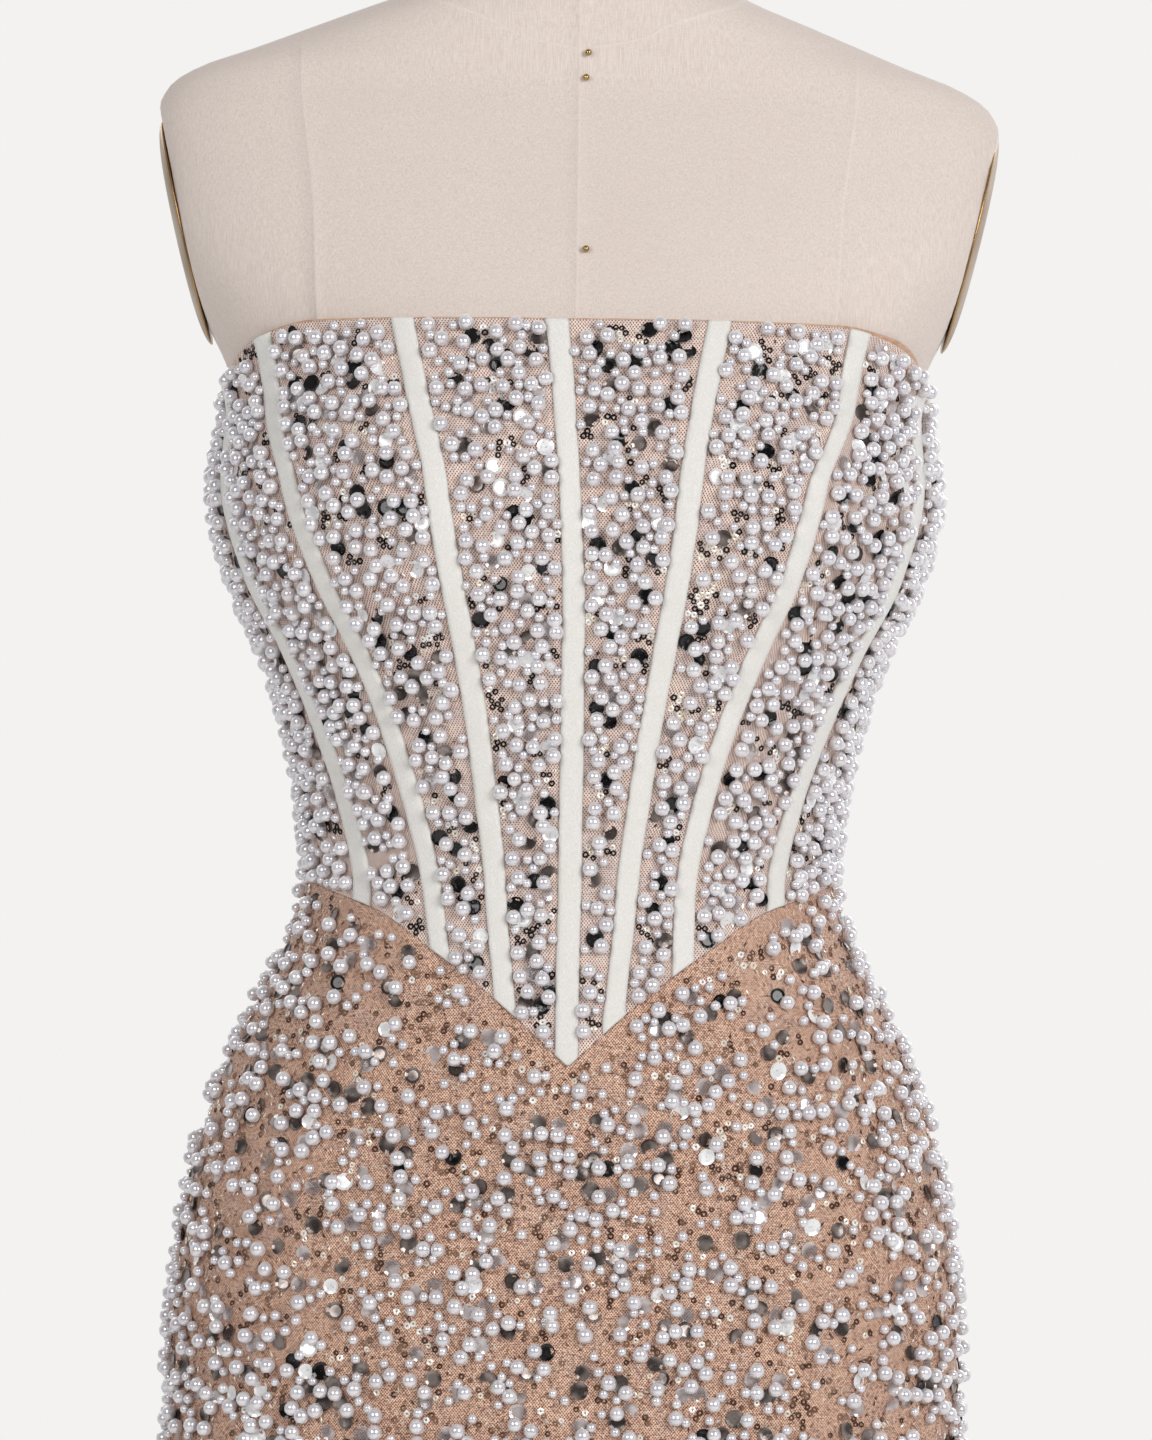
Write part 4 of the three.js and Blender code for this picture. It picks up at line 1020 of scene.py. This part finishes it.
LARGE = ball(3.2 * MM, 12, (132, 93, 58, 26), 0.15 * MM)
SMALL = ball(2.15 * MM, 7, (130, 82, 36), 0.1 * MM)
CUP = disc([(0.2, 0.3), (2.5, 0.38), (3.75, 0.95)], 11)
RING = disc([(0.6, 0.2), (1.0, 0.7), (1.5, 0.2)], 6)
EYELET = disc([(0.5, 0.35), (1.0, 0.5), (1.55, 0.3)], 6)
GLINT_POINTS = [(-1.2, 0, 0.35), (1.2, 0, 0.35), (0, -0.42, 0.35), (0, 0.42, 0.35), (0, 0, 0.85), (0, 0, 0)]
GLINT_FACES = [(0, 2, 4), (2, 1, 4), (1, 3, 4), (3, 0, 4), (2, 0, 5), (1, 2, 5), (3, 1, 5), (0, 3, 5)]
GLINT = (np.array(GLINT_POINTS) * MM, np.array(GLINT_FACES), None)
# Shares of dark, grey, bright and clear sequins; the dark, grey and bright ones are painted reflections of
# one silver sequin
SEQUIN_SHARES = {"bodice": (0.37, 0.16, 0.30, 0.17), "skirt": (0.07, 0.48, 0.12, 0.33)}
# The share of rings and of glints that is dark, and the dark finish
DARK = {"bodice": {"ring": (0.68, "seed_bead_dark"), "glint": (0.15, "seed_bead_brown")},
        "skirt": {"ring": (0.75, "seed_bead_brown"), "glint": (0.5, "seed_bead_brown")}}

for zone, area in (("bodice", sum(piece["cut"][2] for piece in PANEL_PIECES)), ("skirt", SKIRT_AREA)):
    beads = place_beads(zone, area)
    halves = {"": beads["pearl"]}
    if zone == "skirt":
        front = np.abs(beads["pearl"][:, 0]) < math.pi / 2
        halves = {"_front": beads["pearl"][front], "_back": beads["pearl"][~front]}
    for half, places in halves.items():
        strewn(f"pearls_{zone}{half}", LARGE, zone, places, PEARL, 0.3, (0.97, 1.06))
    strewn(f"small_pearls_{zone}", SMALL, zone, beads["small"], PEARL, 0.3, (0.92, 1.12))
    draw = rng.uniform(size=len(beads["sequin"]))
    ends = np.cumsum((0, *SEQUIN_SHARES[zone]))
    # Dark, grey and bright sequins: one silver sequin in painted reflections
    for low, high, word in zip(ends[:-1], ends[1:], ("dark", "grey", "bright", "clear")):
        chosen = beads["sequin"][(draw >= low) & (draw < high)]
        strewn(f"sequins_{word}_{zone}", CUP, zone, chosen, GLOSSY[f"sequin_{word}"], 0.42, (0.85, 1.06),
               0.2 * MM)
    for kind, dark_shape, pale_shape, tip, size in (("ring", RING, EYELET, 0.3, (0.85, 1.1)),
                                                    ("glint", GLINT, GLINT, 0.4, (0.8, 1.3))):
        share, dark_finish = DARK[zone][kind]
        dark = rng.uniform(size=len(beads[kind])) < share
        strewn(f"{kind}s_dark_{zone}", dark_shape, zone, beads[kind][dark], GLOSSY[dark_finish], tip, size)
        strewn(f"{kind}s_pale_{zone}", pale_shape, zone, beads[kind][~dark], GLOSSY["seed_bead"], tip, size)

# ---- floor, light and camera

floor = add_mesh("floor", *lathe([(0, -0.02), (3.0, -0.02), (3.0, 0.0), (0, 0.0)], 96), smooth=False)
floor.data.materials.append(Finish("floor", Base_Color=(236, 235, 233), Roughness=0.9).material)
BODICE_MIDDLE = (0, 0, 1.12)


def studio():
    """The world: pale behind the object; as light, brighter from behind and from the viewer's right."""
    made = bpy.context.scene.world = bpy.data.worlds.new("studio")
    w = Nodes(made)
    w.tree.nodes.clear()
    x, y, _ = w.parts(w.node("TexCoord").outputs["Generated"])
    strength = w.times(w.ramp(y, -0.5, 0.45, 0.16, 1.0), w.ramp(x, -1.0, 1.0, 0.62, 1.1))
    lit = w.node("Background", {"Color": (246, 247, 250), "Strength": strength})
    seen = w.node("Background", {"Color": (243, 242, 240)})
    ray = w.node("LightPath").outputs["Is Camera Ray"]
    mixed = w.node("MixShader", {0: ray, 1: lit.outputs[0], 2: seen.outputs[0]})
    w.node("OutputWorld", {0: mixed.outputs[0]})


def softbox(name, azimuth, elevation, distance, size, power):
    """A square area light that faces the dress; azimuth 0 is in front of it and 90 at the viewer's right."""
    light = bpy.data.lights.new(name, "AREA")
    light.size, light.energy = size, power
    lamp = add_object(name, light)
    a, e = math.radians(azimuth), math.radians(elevation)
    away = Vector((math.sin(a) * math.cos(e), -math.cos(a) * math.cos(e), math.sin(e)))
    lamp.location = Vector(BODICE_MIDDLE) + distance * away
    lamp.rotation_euler = (-away).to_track_quat("-Z", "Y").to_euler()


studio()
softbox("key_left", -33, 16, 2.5, 1.15, 20)
softbox("key_right", 33, 16, 2.5, 1.15, 33)
softbox("back_left", -146, 26, 3.2, 1.4, 9)
softbox("back_right", 146, 26, 3.2, 1.4, 14)

lens = bpy.data.cameras.new("camera")
lens.lens, lens.sensor_width, lens.sensor_fit = 132.2, 36, "AUTO"
lens.clip_start, lens.clip_end = 0.05, 50
camera = add_object("camera", lens)
camera.location = (0.0017, -2.3, 1.103)
camera.rotation_euler = (math.radians(90), math.radians(-0.7), 0)
bpy.context.scene.camera = camera
bpy.context.scene.view_settings.view_transform = "Standard"
